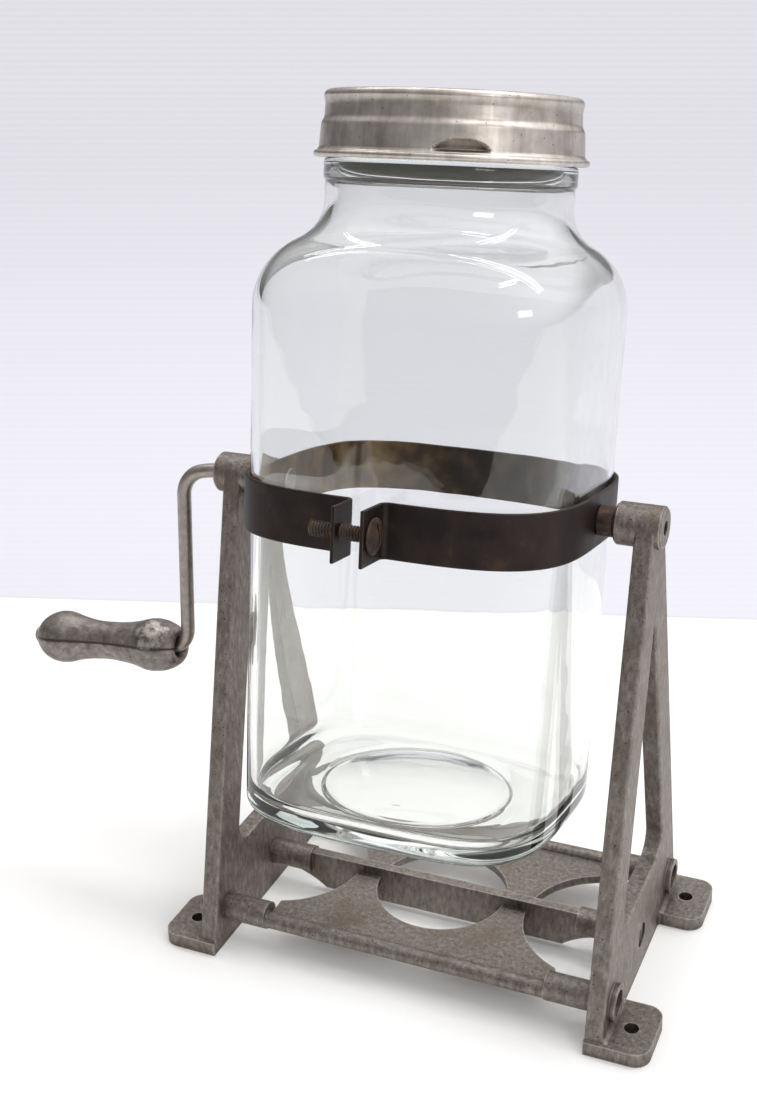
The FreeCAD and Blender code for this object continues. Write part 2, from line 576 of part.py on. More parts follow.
def jar_walls(body, kind, name, wall):
    """The jar's square body and its shoulder, set in from the outside by a wall thickness."""
    upright = "(Sizes.shoulder_start - Sizes.shoulder_rise / 4)"
    foot = "(-Sizes.jar_depth + %s)" % ("0" if wall == "0" else "Sizes.base_thick")
    sections = []
    for place, height in (("foot", foot), ("upright", upright), ("start", "Sizes.shoulder_start")):
        width = ("(Sizes.jar_half_width - %s - Sizes.jar_taper * (Sizes.shoulder_start - %s)"
                 " / (Sizes.shoulder_start + Sizes.jar_depth))") % (wall, height)
        corner = "(Sizes.jar_corner - %s)" % wall
        sections.append(jar_section(body, name + "_" + place, height, width, corner))
    steps = 3
    for step in range(1, 2 * steps + 1):
        rising = step <= steps
        angle = "(Sizes.shoulder_slope * %d / %d)" % (step if rising else 2 * steps - step, steps)
        share = "Sizes.shoulder_share" if rising else "(1 - Sizes.shoulder_share)"
        inset = "((1 - cos(%s)) * %s / (1 - cos(Sizes.shoulder_slope)))" % (angle, share)
        climb = "(Sizes.shoulder_rise * %s * sin(%s) / sin(Sizes.shoulder_slope))" % (share, angle)
        if not rising:
            inset = "(1 - %s)" % inset
            climb = "(Sizes.shoulder_rise - %s)" % climb
        height = "(Sizes.shoulder_start + %s - %s * sin(%s))" % (climb, wall, angle)
        half = "(Sizes.jar_half_width - (Sizes.jar_half_width - %s) * %s - %s * cos(%s))" % (
            NECK_RADIUS, inset, wall, angle)
        round_neck = "(%s - Sizes.neck_flat - Sizes.jar_corner)" % NECK_RADIUS
        corner = "(Sizes.jar_corner + %s * %s - %s * cos(%s))" % (round_neck, inset, wall, angle)
        sections.append(jar_section(body, "%s_rise_%d" % (name, step), height, half, corner))
    loft(body, kind, name + "_sides", sections[:2], True)
    loft(body, kind, name + "_shoulder", sections[1:])


def heel_edge(level):
    """A test for the edges of the flat face at one level."""
    return lambda edge: near(edge.BoundBox.ZMin, level) and near(edge.BoundBox.ZMax, level)


def glass_jar():
    """The square jar: tapered walls, a shoulder that turns from square to round, a beaded
    neck, a plain mouth for the lid and a base with a rounded heel and a push-up."""
    body = new_body("jar")
    jar_walls(body, "AdditiveLoft", "outside", "0")
    neck = new_sketch(body, "neck_outline", "XZ_Plane")
    bead_low = "(%s - Sizes.bead_height)" % NECK_TOP
    bulge = "(Sizes.bead_step - Sizes.neck_step)"
    outline(neck, [
        ("0", NECK_START),
        (NECK_RADIUS, NECK_START),
        (NECK_RADIUS, bead_low),
        (BEAD_RADIUS, "%s + %s" % (bead_low, bulge)),
        (BEAD_RADIUS, "%s - %s" % (NECK_TOP, bulge)),
        ("Sizes.finish_radius", NECK_TOP),
        ("Sizes.finish_radius", MOUTH_TOP),
        ("0", MOUTH_TOP),
    ])
    revolve(body, "Revolution", "neck", neck, "V_Axis")
    ease(body, "Fillet", "heel", "Sizes.heel_round", heel_edge(-value("Sizes.jar_depth")))

    jar_walls(body, "SubtractiveLoft", "inside", "Sizes.glass_thick")
    throat = new_sketch(body, "throat_outline", "XZ_Plane")
    neck_bore = "(%s - Sizes.glass_thick)" % NECK_RADIUS
    mouth_bore = "(Sizes.finish_radius - Sizes.glass_thick)"
    outline(throat, [
        ("0", NECK_START),
        (neck_bore, NECK_START),
        (neck_bore, "%s - Sizes.glass_thick" % NECK_TOP),
        (mouth_bore, NECK_TOP),
        (mouth_bore, MOUTH_TOP),
        ("0", MOUTH_TOP),
    ])
    revolve(body, "Groove", "throat", throat, "V_Axis")
    floor = value("Sizes.base_thick - Sizes.jar_depth")
    ease(body, "Fillet", "inner_heel", "Sizes.heel_round - Sizes.glass_thick", heel_edge(floor))

    dome = new_sketch(body, "push_up_outline", "XZ_Plane")
    sphere = "((Sizes.push_up_radius ^ 2 + Sizes.push_up_height ^ 2) / (2 * Sizes.push_up_height))"
    outline(dome, [
        ("0", "-Sizes.jar_depth"),
        ("Sizes.push_up_radius", "-Sizes.jar_depth"),
        ("0", "Sizes.push_up_height - Sizes.jar_depth", sphere),
    ])
    revolve(body, "Groove", "push_up", dome, "V_Axis")
    return lean_back(body)


def clamp_band():
    """The steel strip round the jar, bent out at the front into two ears for the screw."""
    body = new_body("clamp_band")
    front = "(%s - Sizes.band_thick / 2)" % BAND_FRONT
    side = "(%s - Sizes.band_thick / 2)" % BAND_SIDE
    turn = "(Sizes.jar_corner + Sizes.band_stand_off + Sizes.band_thick / 2)"
    side_flat = "(%s - %s)" % (side, turn)
    front_flat = "(%s - %s)" % (front, turn)
    ear_foot = "(%s + Sizes.ear_bend)" % front
    path = new_sketch(body, "strip_path", "XY_Plane")
    outline(path, [
        ("-" + LEFT_EAR, "-(%s + Sizes.left_ear_reach)" % BAND_FRONT),
        ("-" + LEFT_EAR, "-" + ear_foot),
        ("-(%s + Sizes.ear_bend)" % LEFT_EAR, "-" + front, "Sizes.ear_bend"),
        ("-" + side_flat, "-" + front),
        ("-" + side, "-" + front_flat, "-" + turn),
        ("-" + side, front_flat),
        ("-" + side_flat, front, "-" + turn),
        (side_flat, front),
        (side, front_flat, "-" + turn),
        (side, "-" + front_flat),
        (side_flat, "-" + front, "-" + turn),
        ("(%s + Sizes.ear_bend)" % RIGHT_EAR, "-" + front),
        (RIGHT_EAR, "-" + ear_foot, "Sizes.ear_bend"),
        (RIGHT_EAR, "-(%s + Sizes.right_ear_reach)" % BAND_FRONT),
    ], closed=False)
    strip = new_sketch(body, "strip_section", "XZ_Plane", BAND_FRONT + " + Sizes.left_ear_reach")
    rectangle(strip, "-(%s + Sizes.band_thick / 2)" % LEFT_EAR, "-Sizes.band_height / 2",
              "-(%s - Sizes.band_thick / 2)" % LEFT_EAR, "Sizes.band_height / 2")
    pipe = body.newObject("PartDesign::AdditivePipe", "clamp_band_strip")
    pipe.Profile = strip
    pipe.Spine = path
    doc.recompute()

    holes = new_sketch(body, "rod_hole_outline", "YZ_Plane", "-" + BAND_SIDE)
    circle(holes, "0", "0", "Sizes.rod_radius + Sizes.thread_fit")
    extrude(body, "Pocket", "rod_holes", holes, "2 * " + BAND_SIDE, True)
    screw_hole = new_sketch(body, "screw_hole_outline", "YZ_Plane", "0")
    circle(screw_hole, "-" + SCREW_OUT, "0", "Sizes.screw_radius + Sizes.screw_clearance")
    extrude(body, "Pocket", "screw_hole", screw_hole, "%s + Sizes.band_thick" % RIGHT_EAR, True)
    tapping = new_sketch(body, "tapping_outline", "YZ_Plane", "0")
    circle(tapping, "-" + SCREW_OUT, "0", "Sizes.screw_radius + Sizes.thread_fit")
    extrude(body, "Pocket", "tapping", tapping, "%s + Sizes.band_thick" % LEFT_EAR)
    return lean_back(body)


def clamp_screw():
    """The screw that draws the two ears together."""
    seat = "(%s + Sizes.band_thick / 2)" % RIGHT_EAR
    length = "(%s + %s + Sizes.band_thick + Sizes.clamp_screw_tail)" % (LEFT_EAR, RIGHT_EAR)
    places = [("-" + SCREW_OUT, "0", -1)]
    return lean_back(slotted_screws("clamp_screw", places, seat, length, "clamp"))


def collar(name, side):
    """The collar on a trunnion, between the band and the boss."""
    body = new_body(name)
    sign = "" if side > 0 else "-"
    ring = new_sketch(body, "ring_outline", "YZ_Plane", sign + BAND_SIDE)
    circle(ring, "0", "0", "Sizes.collar_radius")
    circle(ring, "0", "0", "Sizes.rod_radius + Sizes.thread_fit")
    length = "(%s - %s - Sizes.end_play)" % (BOSS_INNER, BAND_SIDE)
    extrude(body, "Pad", "ring", ring, length, side < 0)
    return lean_back(body)


def rod_head(body, side):
    """The peened head that holds a rod in the band from the inside."""
    sign = "" if side > 0 else "-"
    head = new_sketch(body, "head_outline", "YZ_Plane", sign + ROD_HEAD)
    circle(head, "0", "0", "Sizes.rod_head_radius")
    extrude(body, "Pad", "head", head, "Sizes.rod_head_thick", side < 0)


def right_trunnion():
    """The plain pin that turns in the right boss."""
    body = new_body("right_trunnion_pin")
    rod_head(body, 1)
    shank = new_sketch(body, "shank_outline", "YZ_Plane", ROD_HEAD)
    circle(shank, "0", "0", "Sizes.rod_radius")
    length = "(%s + Sizes.right_boss_reach - Sizes.pin_recess - %s)" % (FRAME_OUTER, ROD_HEAD)
    extrude(body, "Pad", "shank", shank, length)
    return lean_back(body)


def crank_rod():
    """The bent rod that is the left trunnion, the crank arm and the spindle of the grip."""
    body = new_body("crank_rod")
    rod_head(body, -1)
    path = new_sketch(body, "rod_path", "XZ_Plane")
    droop = "Sizes.grip_droop"
    cut_back = "(Sizes.grip_bend * tan((90 - %s) / 2))" % droop
    reach = "(%s + Sizes.grip_play)" % GRIP_END
    exit_face = "(%s + Sizes.left_boss_reach)" % FRAME_OUTER
    sweep_end = "(%s + Sizes.crank_sweep * sin(Sizes.crank_sweep_angle))" % exit_face
    sweep_drop = "(Sizes.crank_sweep * (1 - cos(Sizes.crank_sweep_angle)))"
    bend = "((Sizes.crank_offset - %s) / (1 - sin(Sizes.crank_sweep_angle)))" % sweep_end
    arm_top = "(%s + %s * cos(Sizes.crank_sweep_angle))" % (sweep_drop, bend)
    outline(path, [
        ("-" + ROD_HEAD, "0"),
        ("-" + exit_face, "0"),
        ("-" + sweep_end, "-" + sweep_drop, "Sizes.crank_sweep"),
        ("-Sizes.crank_offset", "-" + arm_top, bend),
        ("-Sizes.crank_offset", "-(Sizes.crank_throw - %s)" % cut_back),
        ("-(Sizes.crank_offset + %s * cos(%s))" % (cut_back, droop),
         "-(Sizes.crank_throw + %s * sin(%s))" % (cut_back, droop), "-Sizes.grip_bend"),
        ("-(Sizes.crank_offset + %s * cos(%s))" % (reach, droop),
         "-(Sizes.crank_throw + %s * sin(%s))" % (reach, droop)),
    ], closed=False)
    section = new_sketch(body, "rod_section", "YZ_Plane", "-" + ROD_HEAD)
    circle(section, "0", "0", "Sizes.rod_radius")
    pipe = body.newObject("PartDesign::AdditivePipe", "crank_rod_bar")
    pipe.Profile = section
    pipe.Spine = path
    doc.recompute()

    peen = on_grip_axis(body, "peen_outline")
    sphere = "((Sizes.peen_radius ^ 2 + Sizes.peen_thick ^ 2) / (2 * Sizes.peen_thick))"
    outline(peen, [
        (reach, "0"),
        ("%s + Sizes.peen_thick" % reach, "0"),
        (reach, "Sizes.peen_radius", sphere),
    ])
    revolve(body, "Revolution", "peen", peen, "H_Axis")
    return lean_back(body, "Sizes.crank_lean")


def on_grip_axis(body, name):
    """A sketch whose level axis is the axis of the grip, from the corner of the arm outward."""
    sketch = new_sketch(body, name, "XZ_Plane")
    half_turn = FreeCAD.Rotation(Vector(0, 0, 1), 180)
    sketch.AttachmentOffset = FreeCAD.Placement(Vector(0, 0, 0), half_turn)
    sketch.setExpression("AttachmentOffset.Base.x", "-Sizes.crank_offset")
    sketch.setExpression("AttachmentOffset.Base.y", "-Sizes.crank_throw")
    sketch.setExpression("AttachmentOffset.Rotation.Angle", "180 + Sizes.grip_droop")
    return sketch


def crank_grip():
    """The cast grip that spins on the crank rod: two bulbs and a waist in tangent arcs."""
    body = new_body("crank_grip")
    profile = on_grip_axis(body, "profile")
    bore = "(Sizes.rod_radius + Sizes.bearing_clearance)"
    rise = "(Sizes.grip_bulb_radius - Sizes.grip_waist_radius)"
    inner = "(Sizes.grip_start + Sizes.inner_bulb_inset)"
    outer = "(%s - Sizes.outer_bulb_inset)" % GRIP_END
    span = "(%s - %s)" % (outer, inner)
    waist_place = "((%s + 2 * %s * (Sizes.inner_bulb_curve - Sizes.outer_bulb_curve) / %s) / 2)" % (
        span, rise, span)
    waist_curve = "((%s ^ 2 + %s ^ 2) / (2 * %s) - Sizes.inner_bulb_curve)" % (
        waist_place, rise, rise)
    inner_part = "(Sizes.inner_bulb_curve / (Sizes.inner_bulb_curve + %s))" % waist_curve
    outer_part = "(Sizes.outer_bulb_curve / (Sizes.outer_bulb_curve + %s))" % waist_curve
    end_radius = "(sqrt(%s ^ 2 - %s ^ 2) - %s + Sizes.grip_bulb_radius)"
    inner_end = end_radius % ("Sizes.inner_bulb_curve", "Sizes.inner_bulb_inset",
                              "Sizes.inner_bulb_curve")
    outer_end = end_radius % ("Sizes.outer_bulb_curve", "Sizes.outer_bulb_inset",
                              "Sizes.outer_bulb_curve")
    outline(profile, [
        ("Sizes.grip_start", "Sizes.grip_mouth_radius"),
        ("Sizes.grip_start + Sizes.grip_mouth_depth", bore),
        (GRIP_END, bore),
        (GRIP_END, outer_end),
        ("%s - (%s - %s) * %s" % (outer, span, waist_place, outer_part),
         "Sizes.grip_bulb_radius - %s * %s" % (rise, outer_part), "Sizes.outer_bulb_curve"),
        ("%s + %s * %s" % (inner, waist_place, inner_part),
         "Sizes.grip_bulb_radius - %s * %s" % (rise, inner_part), "-" + waist_curve),
        ("Sizes.grip_start", inner_end, "Sizes.inner_bulb_curve"),
    ])
    revolve(body, "Revolution", "shell", profile, "H_Axis")
    return lean_back(body, "Sizes.crank_lean")


def sealing_ring():
    """The rubber ring on the rim of the mouth."""
    body = new_body("sealing_ring")
    ring = new_sketch(body, "ring_outline", "XY_Plane", SEAL_BOTTOM)
    circle(ring, "0", "0", "Sizes.finish_radius")
    circle(ring, "0", "0", "Sizes.finish_radius - Sizes.seal_width")
    extrude(body, "Pad", "ring", ring, "Sizes.seal_thick")
    return lean_back(body)


def lid_liner():
    """The waxed board disc inside the crown of the lid."""
    body = new_body("lid_liner")
    disc = new_sketch(body, "disc_outline", "XY_Plane", LINER_BOTTOM)
    circle(disc, "0", "0", "%s - Sizes.lid_roll - Sizes.liner_play" % LID_CROWN)
    extrude(body, "Pad", "disc", disc, "Sizes.liner_thick")
    return lean_back(body)


def lid_shell():
    """The spun metal lid: a rolled crown edge, a wall that steps out to the skirt, a rolled
    bead at its foot and three lugs pressed in that ride the mouth's thread."""
    body = new_body("lid_shell")
    thick = "Sizes.lid_thick"
    step_top = "(%s - Sizes.lid_step_drop)" % LID_TOP
    step_foot = "(%s - Sizes.lid_step_height)" % step_top
    bead = "(%s - %s)" % (LID_BEAD, thick)
    bead_top = "(%s + 3 * %s)" % (LID_FOOT, thick)
    skirt = "(%s + %s)" % (bead_top, thick)
    profile = new_sketch(body, "profile", "XZ_Plane")
    outline(profile, [
        ("0", CROWN_BOTTOM),
        ("%s - Sizes.lid_roll" % LID_CROWN, CROWN_BOTTOM),
        ("%s - %s" % (LID_CROWN, thick), "%s - Sizes.lid_roll" % LID_TOP,
         "-(Sizes.lid_roll - %s)" % thick),
        ("%s - %s" % (LID_WALL, thick), step_top),
        ("%s - %s" % (SKIRT_TOP, thick), step_foot),
        ("%s - %s" % (SKIRT_FOOT, thick), skirt),
        ("%s - %s" % (bead, thick), "%s + 2 * %s" % (LID_FOOT, thick)),
        ("%s - %s" % (bead, thick), LID_FOOT),
        (bead, LID_FOOT),
        (LID_BEAD, "%s + %s" % (LID_FOOT, thick), thick),
        (LID_BEAD, "%s + 2 * %s" % (LID_FOOT, thick)),
        (bead, bead_top, thick),
        (SKIRT_FOOT, skirt),
        (SKIRT_TOP, step_foot),
        (LID_WALL, step_top),
        (LID_CROWN, "%s - Sizes.lid_roll" % LID_TOP),
        ("%s - Sizes.lid_roll" % LID_CROWN, LID_TOP, "Sizes.lid_roll"),
        ("0", LID_TOP),
    ])
    revolve(body, "Revolution", "shell", profile, "V_Axis")

    lug_foot = "(%s + Sizes.lug_low)" % LID_FOOT
    middle = "(%s - %s / 2)" % (SKIRT_FOOT, thick)
    lug = new_sketch(body, "lug_outline", "XZ_Plane")
    lug.AttachmentOffset = FreeCAD.Placement(Vector(), FreeCAD.Rotation(Vector(0, 1, 0), 1))
    lug.setExpression("AttachmentOffset.Rotation.Angle", "Sizes.lug_azimuth")
    outline(lug, [
        (middle, lug_foot),
        (middle, "%s + Sizes.lug_height" % lug_foot),
        ("%s - Sizes.lug_depth" % middle, "%s + Sizes.lug_height / 2" % lug_foot),
        ("%s - Sizes.lug_depth" % middle, "%s + Sizes.lug_lip" % lug_foot),
    ])
    lugs = revolve(body, "Revolution", "lug", lug, "V_Axis", "Sizes.lug_angle")
    pattern = body.newObject("PartDesign::PolarPattern", "lid_shell_lugs")
    pattern.Originals = [lugs]
    pattern.Axis = (lug, ["V_Axis"])
    pattern.Angle = 360
    pattern.setExpression("Occurrences", "Sizes.lug_count")
    body.Tip = pattern
    doc.recompute()
    return lean_back(body)


def check(subparts):
    """Stops if a feature failed or a sub-part isn't a sound solid."""
    for item in doc.Objects:
        if any(word in item.State for word in ("Invalid", "Error")):
            raise RuntimeError("%s failed" % item.Label)
    for subpart in subparts:
        shape = subpart.Shape
        if shape.isNull() or not shape.isValid() or not shape.Solids:
            raise RuntimeError("%s is not a sound solid" % subpart.Label)


subparts = [
    side_frame("left_side_frame", -1, "Sizes.left_boss_reach"),
    side_frame("right_side_frame", 1, "Sizes.right_boss_reach"),
    base_casting(),
    tie_screws("front_tie_screws", "-Sizes.tie_spacing"),
    tie_screws("middle_tie_screws", "0"),
    tie_screws("rear_tie_screws", "Sizes.tie_spacing"),
    glass_jar(),
    clamp_band(),
    clamp_screw(),
    collar("left_trunnion_collar", -1),
    collar("right_trunnion_collar", 1),
    right_trunnion(),
    crank_rod(),
    crank_grip(),
    sealing_ring(),
    lid_liner(),
    lid_shell(),
]
doc.recompute()
check(subparts)
os.makedirs("parts", exist_ok=True)
for subpart in subparts:
    subpart.Shape.exportStep("parts/%s.step" % subpart.Label)
    print(subpart.Label, len(subpart.Shape.Solids), "solids, volume", round(subpart.Shape.Volume))
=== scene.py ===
"""The looks of a tumbling butter churn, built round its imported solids.

Metres, +Z up, in the frame of the solids: the trunnions lie along X, the crank is at -X and
-Y is the front.  The jar and what it carries are shaped upright about the trunnion axis and
then leaned back as the joints of the model say; the crank leans by an angle of its own.
"""
import json
import math

import bpy
from mathutils import Matrix, Vector, noise


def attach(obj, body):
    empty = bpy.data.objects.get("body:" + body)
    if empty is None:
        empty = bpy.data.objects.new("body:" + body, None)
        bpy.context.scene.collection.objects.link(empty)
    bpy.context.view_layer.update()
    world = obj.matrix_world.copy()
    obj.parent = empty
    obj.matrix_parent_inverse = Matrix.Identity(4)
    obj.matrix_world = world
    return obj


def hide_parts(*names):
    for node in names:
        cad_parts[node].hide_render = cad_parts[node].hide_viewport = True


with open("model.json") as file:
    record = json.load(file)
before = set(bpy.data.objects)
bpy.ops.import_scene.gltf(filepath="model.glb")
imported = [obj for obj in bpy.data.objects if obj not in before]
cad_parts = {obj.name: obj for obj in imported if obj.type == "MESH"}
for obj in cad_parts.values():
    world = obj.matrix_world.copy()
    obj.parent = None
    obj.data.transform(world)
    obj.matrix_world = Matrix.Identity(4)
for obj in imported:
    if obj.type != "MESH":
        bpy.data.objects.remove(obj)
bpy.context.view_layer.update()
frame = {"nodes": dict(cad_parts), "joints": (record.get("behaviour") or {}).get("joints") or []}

bl_info = {
    "name": "Butter Churn Looks",
    "version": (1, 0, 0),
    "blender": (4, 5, 0),
    "location": "3D View > Sidebar > Churn",
    "description": "Pieces, finishes and stage of a tumbling butter churn",
    "category": "Object",
}

JOINTS = {joint["name"]: joint for joint in frame["joints"]}
AXLE = Vector(JOINTS["tumble"]["pos_m"])
JAR_UP = Vector(JOINTS["lid_lift"]["axis"])
GRIP_CORNER = Vector(JOINTS["grip_spin"]["pos_m"])
GRIP_OUTWARD = Vector(JOINTS["grip_spin"]["axis"]).normalized()
LEAN = math.atan2(JAR_UP.y, JAR_UP.z)
LEANED = Matrix.Translation(AXLE) @ Matrix.Rotation(-LEAN, 4, "X")
ARM = AXLE - GRIP_CORNER
CRANK_LEAN = math.atan2(ARM.y, ARM.z)
CRANKED = Matrix.Translation(AXLE) @ Matrix.Rotation(-CRANK_LEAN, 4, "X")
THROW = math.hypot(ARM.y, ARM.z)
FLAT = Matrix.Identity(4)
ALONG_X = Matrix.Rotation(math.pi / 2, 4, "Y")
ON_GRIP = (Matrix.Translation(GRIP_CORNER)
           @ GRIP_OUTWARD.to_track_quat("Z", "Y").to_matrix().to_4x4())
ROUND = 256
# Turn of the mould's seam about the axis of the grip, in radians
GRIP_SEAM = 0.3
CAMERA_PLACE = Vector((0.2243, -0.5498, 0.4519))
CAMERA_RIGHT = Vector((0.9155, 0.401, -0.0338))
CAMERA_AHEAD = Vector((-0.3798, 0.8331, -0.4022))
# Focal length and picture height, both in pixels of the photograph
FOCAL_SHARE = 1531.62 / 1100


def linear(code):
    """An sRGB hex colour as linear red, green, blue and 1."""
    parts = [int(code[place:place + 2], 16) / 255 for place in (1, 3, 5)]
    return [part / 12.92 if part <= 0.04045 else ((part + 0.055) / 1.055) ** 2.4
            for part in parts] + [1.0]


def length(name, default, description):
    """A size that shows in the panel as a length."""
    return bpy.props.FloatProperty(name=name, description=description, default=default,
                                   unit="LENGTH", precision=5)


def colour(name, code, description):
    """A colour that shows in the panel as a swatch."""
    return bpy.props.FloatVectorProperty(name=name, description=description, subtype="COLOR",
                                         size=4, min=0.0, max=1.0, default=linear(code))


class ChurnJar(bpy.types.PropertyGroup):
    """Sizes and tint of the glass jar, measured from the trunnion axis."""
    side: length("Side", 0.0688, "Middle to the sides, below the shoulder")
    front: length("Front", 0.0652, "Middle to the front and back, below the shoulder")
    side_taper: length("Side taper", 0.0010, "How much the sides draw in down to the heel")
    front_taper: length("Front taper", 0.0025, "How much the front draws in down to the heel")
    corner: length("Corner", 0.039, "Radius of an arc as far out as the upright corners")
    depth: length("Depth", 0.1345, "Axis down to the bottom")
    wall: length("Wall", 0.0035, "Thickness of the walls")
    base: length("Base", 0.0065, "Thickness of the base at its edge")
    heel: length("Heel", 0.0074, "Radius round the heel")
    inner_heel: length("Inner heel", 0.0090, "Radius round the heel inside")
    push_up: length("Push-up", 0.042, "Radius of the push-up")
    push_up_rise: length("Push-up rise", 0.0062, "Height of the push-up")
    push_up_step: length("Push-up step", 0.0022, "Radius round the step of the push-up")
    shoulder: length("Shoulder", 0.079, "Axis up to the start of the shoulder")
    shoulder_rise: length("Shoulder rise", 0.041, "Height of the shoulder")
    neck: length("Neck", 0.0496, "Radius of the neck")
    neck_rise: length("Neck rise", 0.016, "Height of the neck with its bead")
    bead: length("Bead", 0.0504, "Radius of the bead under the lid")
    bead_height: length("Bead height", 0.0085, "Height of that bead")
    mouth: length("Mouth", 0.0484, "Radius of the mouth that the lid goes over")
    mouth_rise: length("Mouth rise", 0.0213, "Height of that mouth")
    tint: colour("Tint", "#FBFCFB", "Colour of thin glass")


class ChurnLid(bpy.types.PropertyGroup):
    """Sizes and colour of the spun lid."""
    crown: length("Crown", 0.051, "Radius of the rolled edge of the crown")
    roll: length("Roll", 0.00225, "Radius of that rolled edge's section")
    waist: length("Waist", 0.0507, "Radius at the top of the step")
    step_drop: length("Step drop", 0.010, "Top of the lid down to the step")
    step_height: length("Step height", 0.0031, "Height of the step")
    skirt_top: length("Skirt top", 0.0519, "Radius at the foot of the step")
    skirt: length("Skirt", 0.0525, "Radius at the foot of the skirt")
    bead: length("Bead", 0.0546, "Radius of the rolled bead")
    height: length("Height", 0.0256, "Height of the lid")
    sheet: length("Sheet", 0.0009, "Thickness of the sheet")
    metal: colour("Metal", "#D8D1CB", "Colour of the clean metal")
    stain: colour("Stain", "#ABA198", "Colour of the stained metal")


class ChurnBand(bpy.types.PropertyGroup):
    """Sizes of the band round the jar and of its clamp screw."""
    thick: length("Thickness", 0.0015, "Thickness of the strip")
    height: length("Height", 0.022, "Height of the strip")
    front_gap: length("Front gap", 0.0003, "Gap to the glass, front and back")
    side_gap: length("Side gap", 0.0011, "Gap to the glass at the trunnions")
    ear_bend: length("Ear bend", 0.0030, "Bend radius of an ear")
    ear_gap: length("Ear gap", 0.0110, "Gap between the ears")
    gap_offset: length("Gap offset", 0.0015, "That gap left of the middle")
    left_ear: length("Left ear", 0.0170, "Left ear in front of the band")
    right_ear: length("Right ear", 0.0186, "Right ear in front of the band")
    screw_out: length("Screw place", 0.010, "Screw in front of the band")
    screw: length("Screw", 0.003175, "Radius of the clamp screw")
    pitch: length("Pitch", 0.00127, "Pitch of its thread")
    tail: length("Tail", 0.012, "Screw beyond the left ear")
    head: length("Head", 0.0071, "Radius of its head")
    head_rise: length("Head rise", 0.0028, "Thickness of its head")


class ChurnCrank(bpy.types.PropertyGroup):
    """Sizes of the rods, collars and grip."""
    rod: length("Rod", 0.003175, "Radius of the rods")
    collar: length("Collar", 0.00625, "Radius of the collars")
    boss: length("Boss", 0.0785, "Middle of the churn to the inner end of a boss")
    play: length("End play", 0.0003, "Gap between a collar and its boss")
    exit: length("Exit", 0.1011, "Middle of the churn to where the rod starts to bend")
    offset: length("Offset", 0.1206, "Middle of the churn to the arm")
    grip_start: length("Grip start", 0.0043, "Corner of the arm to the grip")
    grip_length: length("Grip length", 0.0777, "Length of the grip")
    bulb: length("Bulb", 0.0126, "Greatest radius of the grip")
    waist: length("Waist", 0.0091, "Least radius of the grip")


class ChurnStage(bpy.types.PropertyGroup):
    """Colours of the table and of the cloth behind it."""
    table: colour("Table", "#F4F3F2", "Colour of the table")
    cloth_near: colour("Cloth near", "#DBDAE1", "Cloth where it meets the table")
    cloth_far: colour("Cloth far", "#E7E6ED", "Cloth far behind the churn")


def add_node(tree, kind, settings=None, values=None, links=None):
    """Adds a node to a tree, with its settings, its socket values and its incoming links.
    A link comes from a socket, or from the first output of a node."""
    node = tree.nodes.new(kind)
    for name, setting in (settings or {}).items():
        setattr(node, name, setting)
    for socket, number in (values or {}).items():
        node.inputs[socket].default_value = number
    for socket, source in (links or {}).items():
        if isinstance(source, bpy.types.Node):
            source = source.outputs[0]
        tree.links.new(source, node.inputs[socket])
    return node


def new_material(name):
    """An empty material and its tree."""
    material = bpy.data.materials.new(name)
    material.use_nodes = True
    material.node_tree.nodes.clear()
    return material, material.node_tree


def ramp_stops(node, stops):
    """Sets the stops of a colour ramp from (place, sRGB hex colour) pairs."""
    elements = node.color_ramp.elements
    while len(elements) < len(stops):
        elements.new(0.5)
    for element, (place, code) in zip(elements, stops):
        element.position = place
        element.color = linear(code)
    return node


def per_mm(size):
    """The scale at which a pattern has features of this many millimetres."""
    return 1000.0 / size


def skin(rings):
    """Faces between rings of equal count, each ring a closed loop."""
    faces = []
    count = len(rings[0])
    for row in range(len(rings) - 1):
        start = row * count
        for place in range(count):
            beside = (place + 1) % count
            faces.append((start + place, start + beside, start + count + beside,
                          start + count + place))
    return faces


def make_piece(name, points, faces, materials, place=FLAT, crease=None):
    """A smooth mesh object whose points are moved to their place in the frame of the solids.
    Edges that turn by more than the crease angle, in degrees, stay sharp."""
    mesh = bpy.data.meshes.new(name)
    mesh.from_pydata([tuple(place @ Vector(point)) for point in points], [], faces)
    mesh.validate()
    mesh.update()
    for polygon in mesh.polygons:
        polygon.use_smooth = True
    if crease:
        mesh.set_sharp_from_angle(angle=math.radians(crease))
    piece = bpy.data.objects.new(name, mesh)
    bpy.context.scene.collection.objects.link(piece)
    for material in materials:
        mesh.materials.append(material)
    return piece


def seat(piece, body, node):
    """Lets a piece ride on its body in the place of a solid, which it hides."""
    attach(piece, body)
    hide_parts(node)


def cut(piece, points, faces, place, crease):
    """Cuts the space of a closed tool out of a piece."""
    tool = make_piece("cutting_tool", points, faces, [], place)
    cutter = piece.modifiers.new("cut", "BOOLEAN")
    cutter.operation = "DIFFERENCE"
    cutter.solver = "EXACT"
    cutter.object = tool
    graph = bpy.context.evaluated_depsgraph_get()
    mesh = bpy.data.meshes.new_from_object(piece.evaluated_get(graph))
    piece.modifiers.clear()
    piece.data = mesh
    mesh.set_sharp_from_angle(angle=math.radians(crease))
    bpy.data.objects.remove(tool)


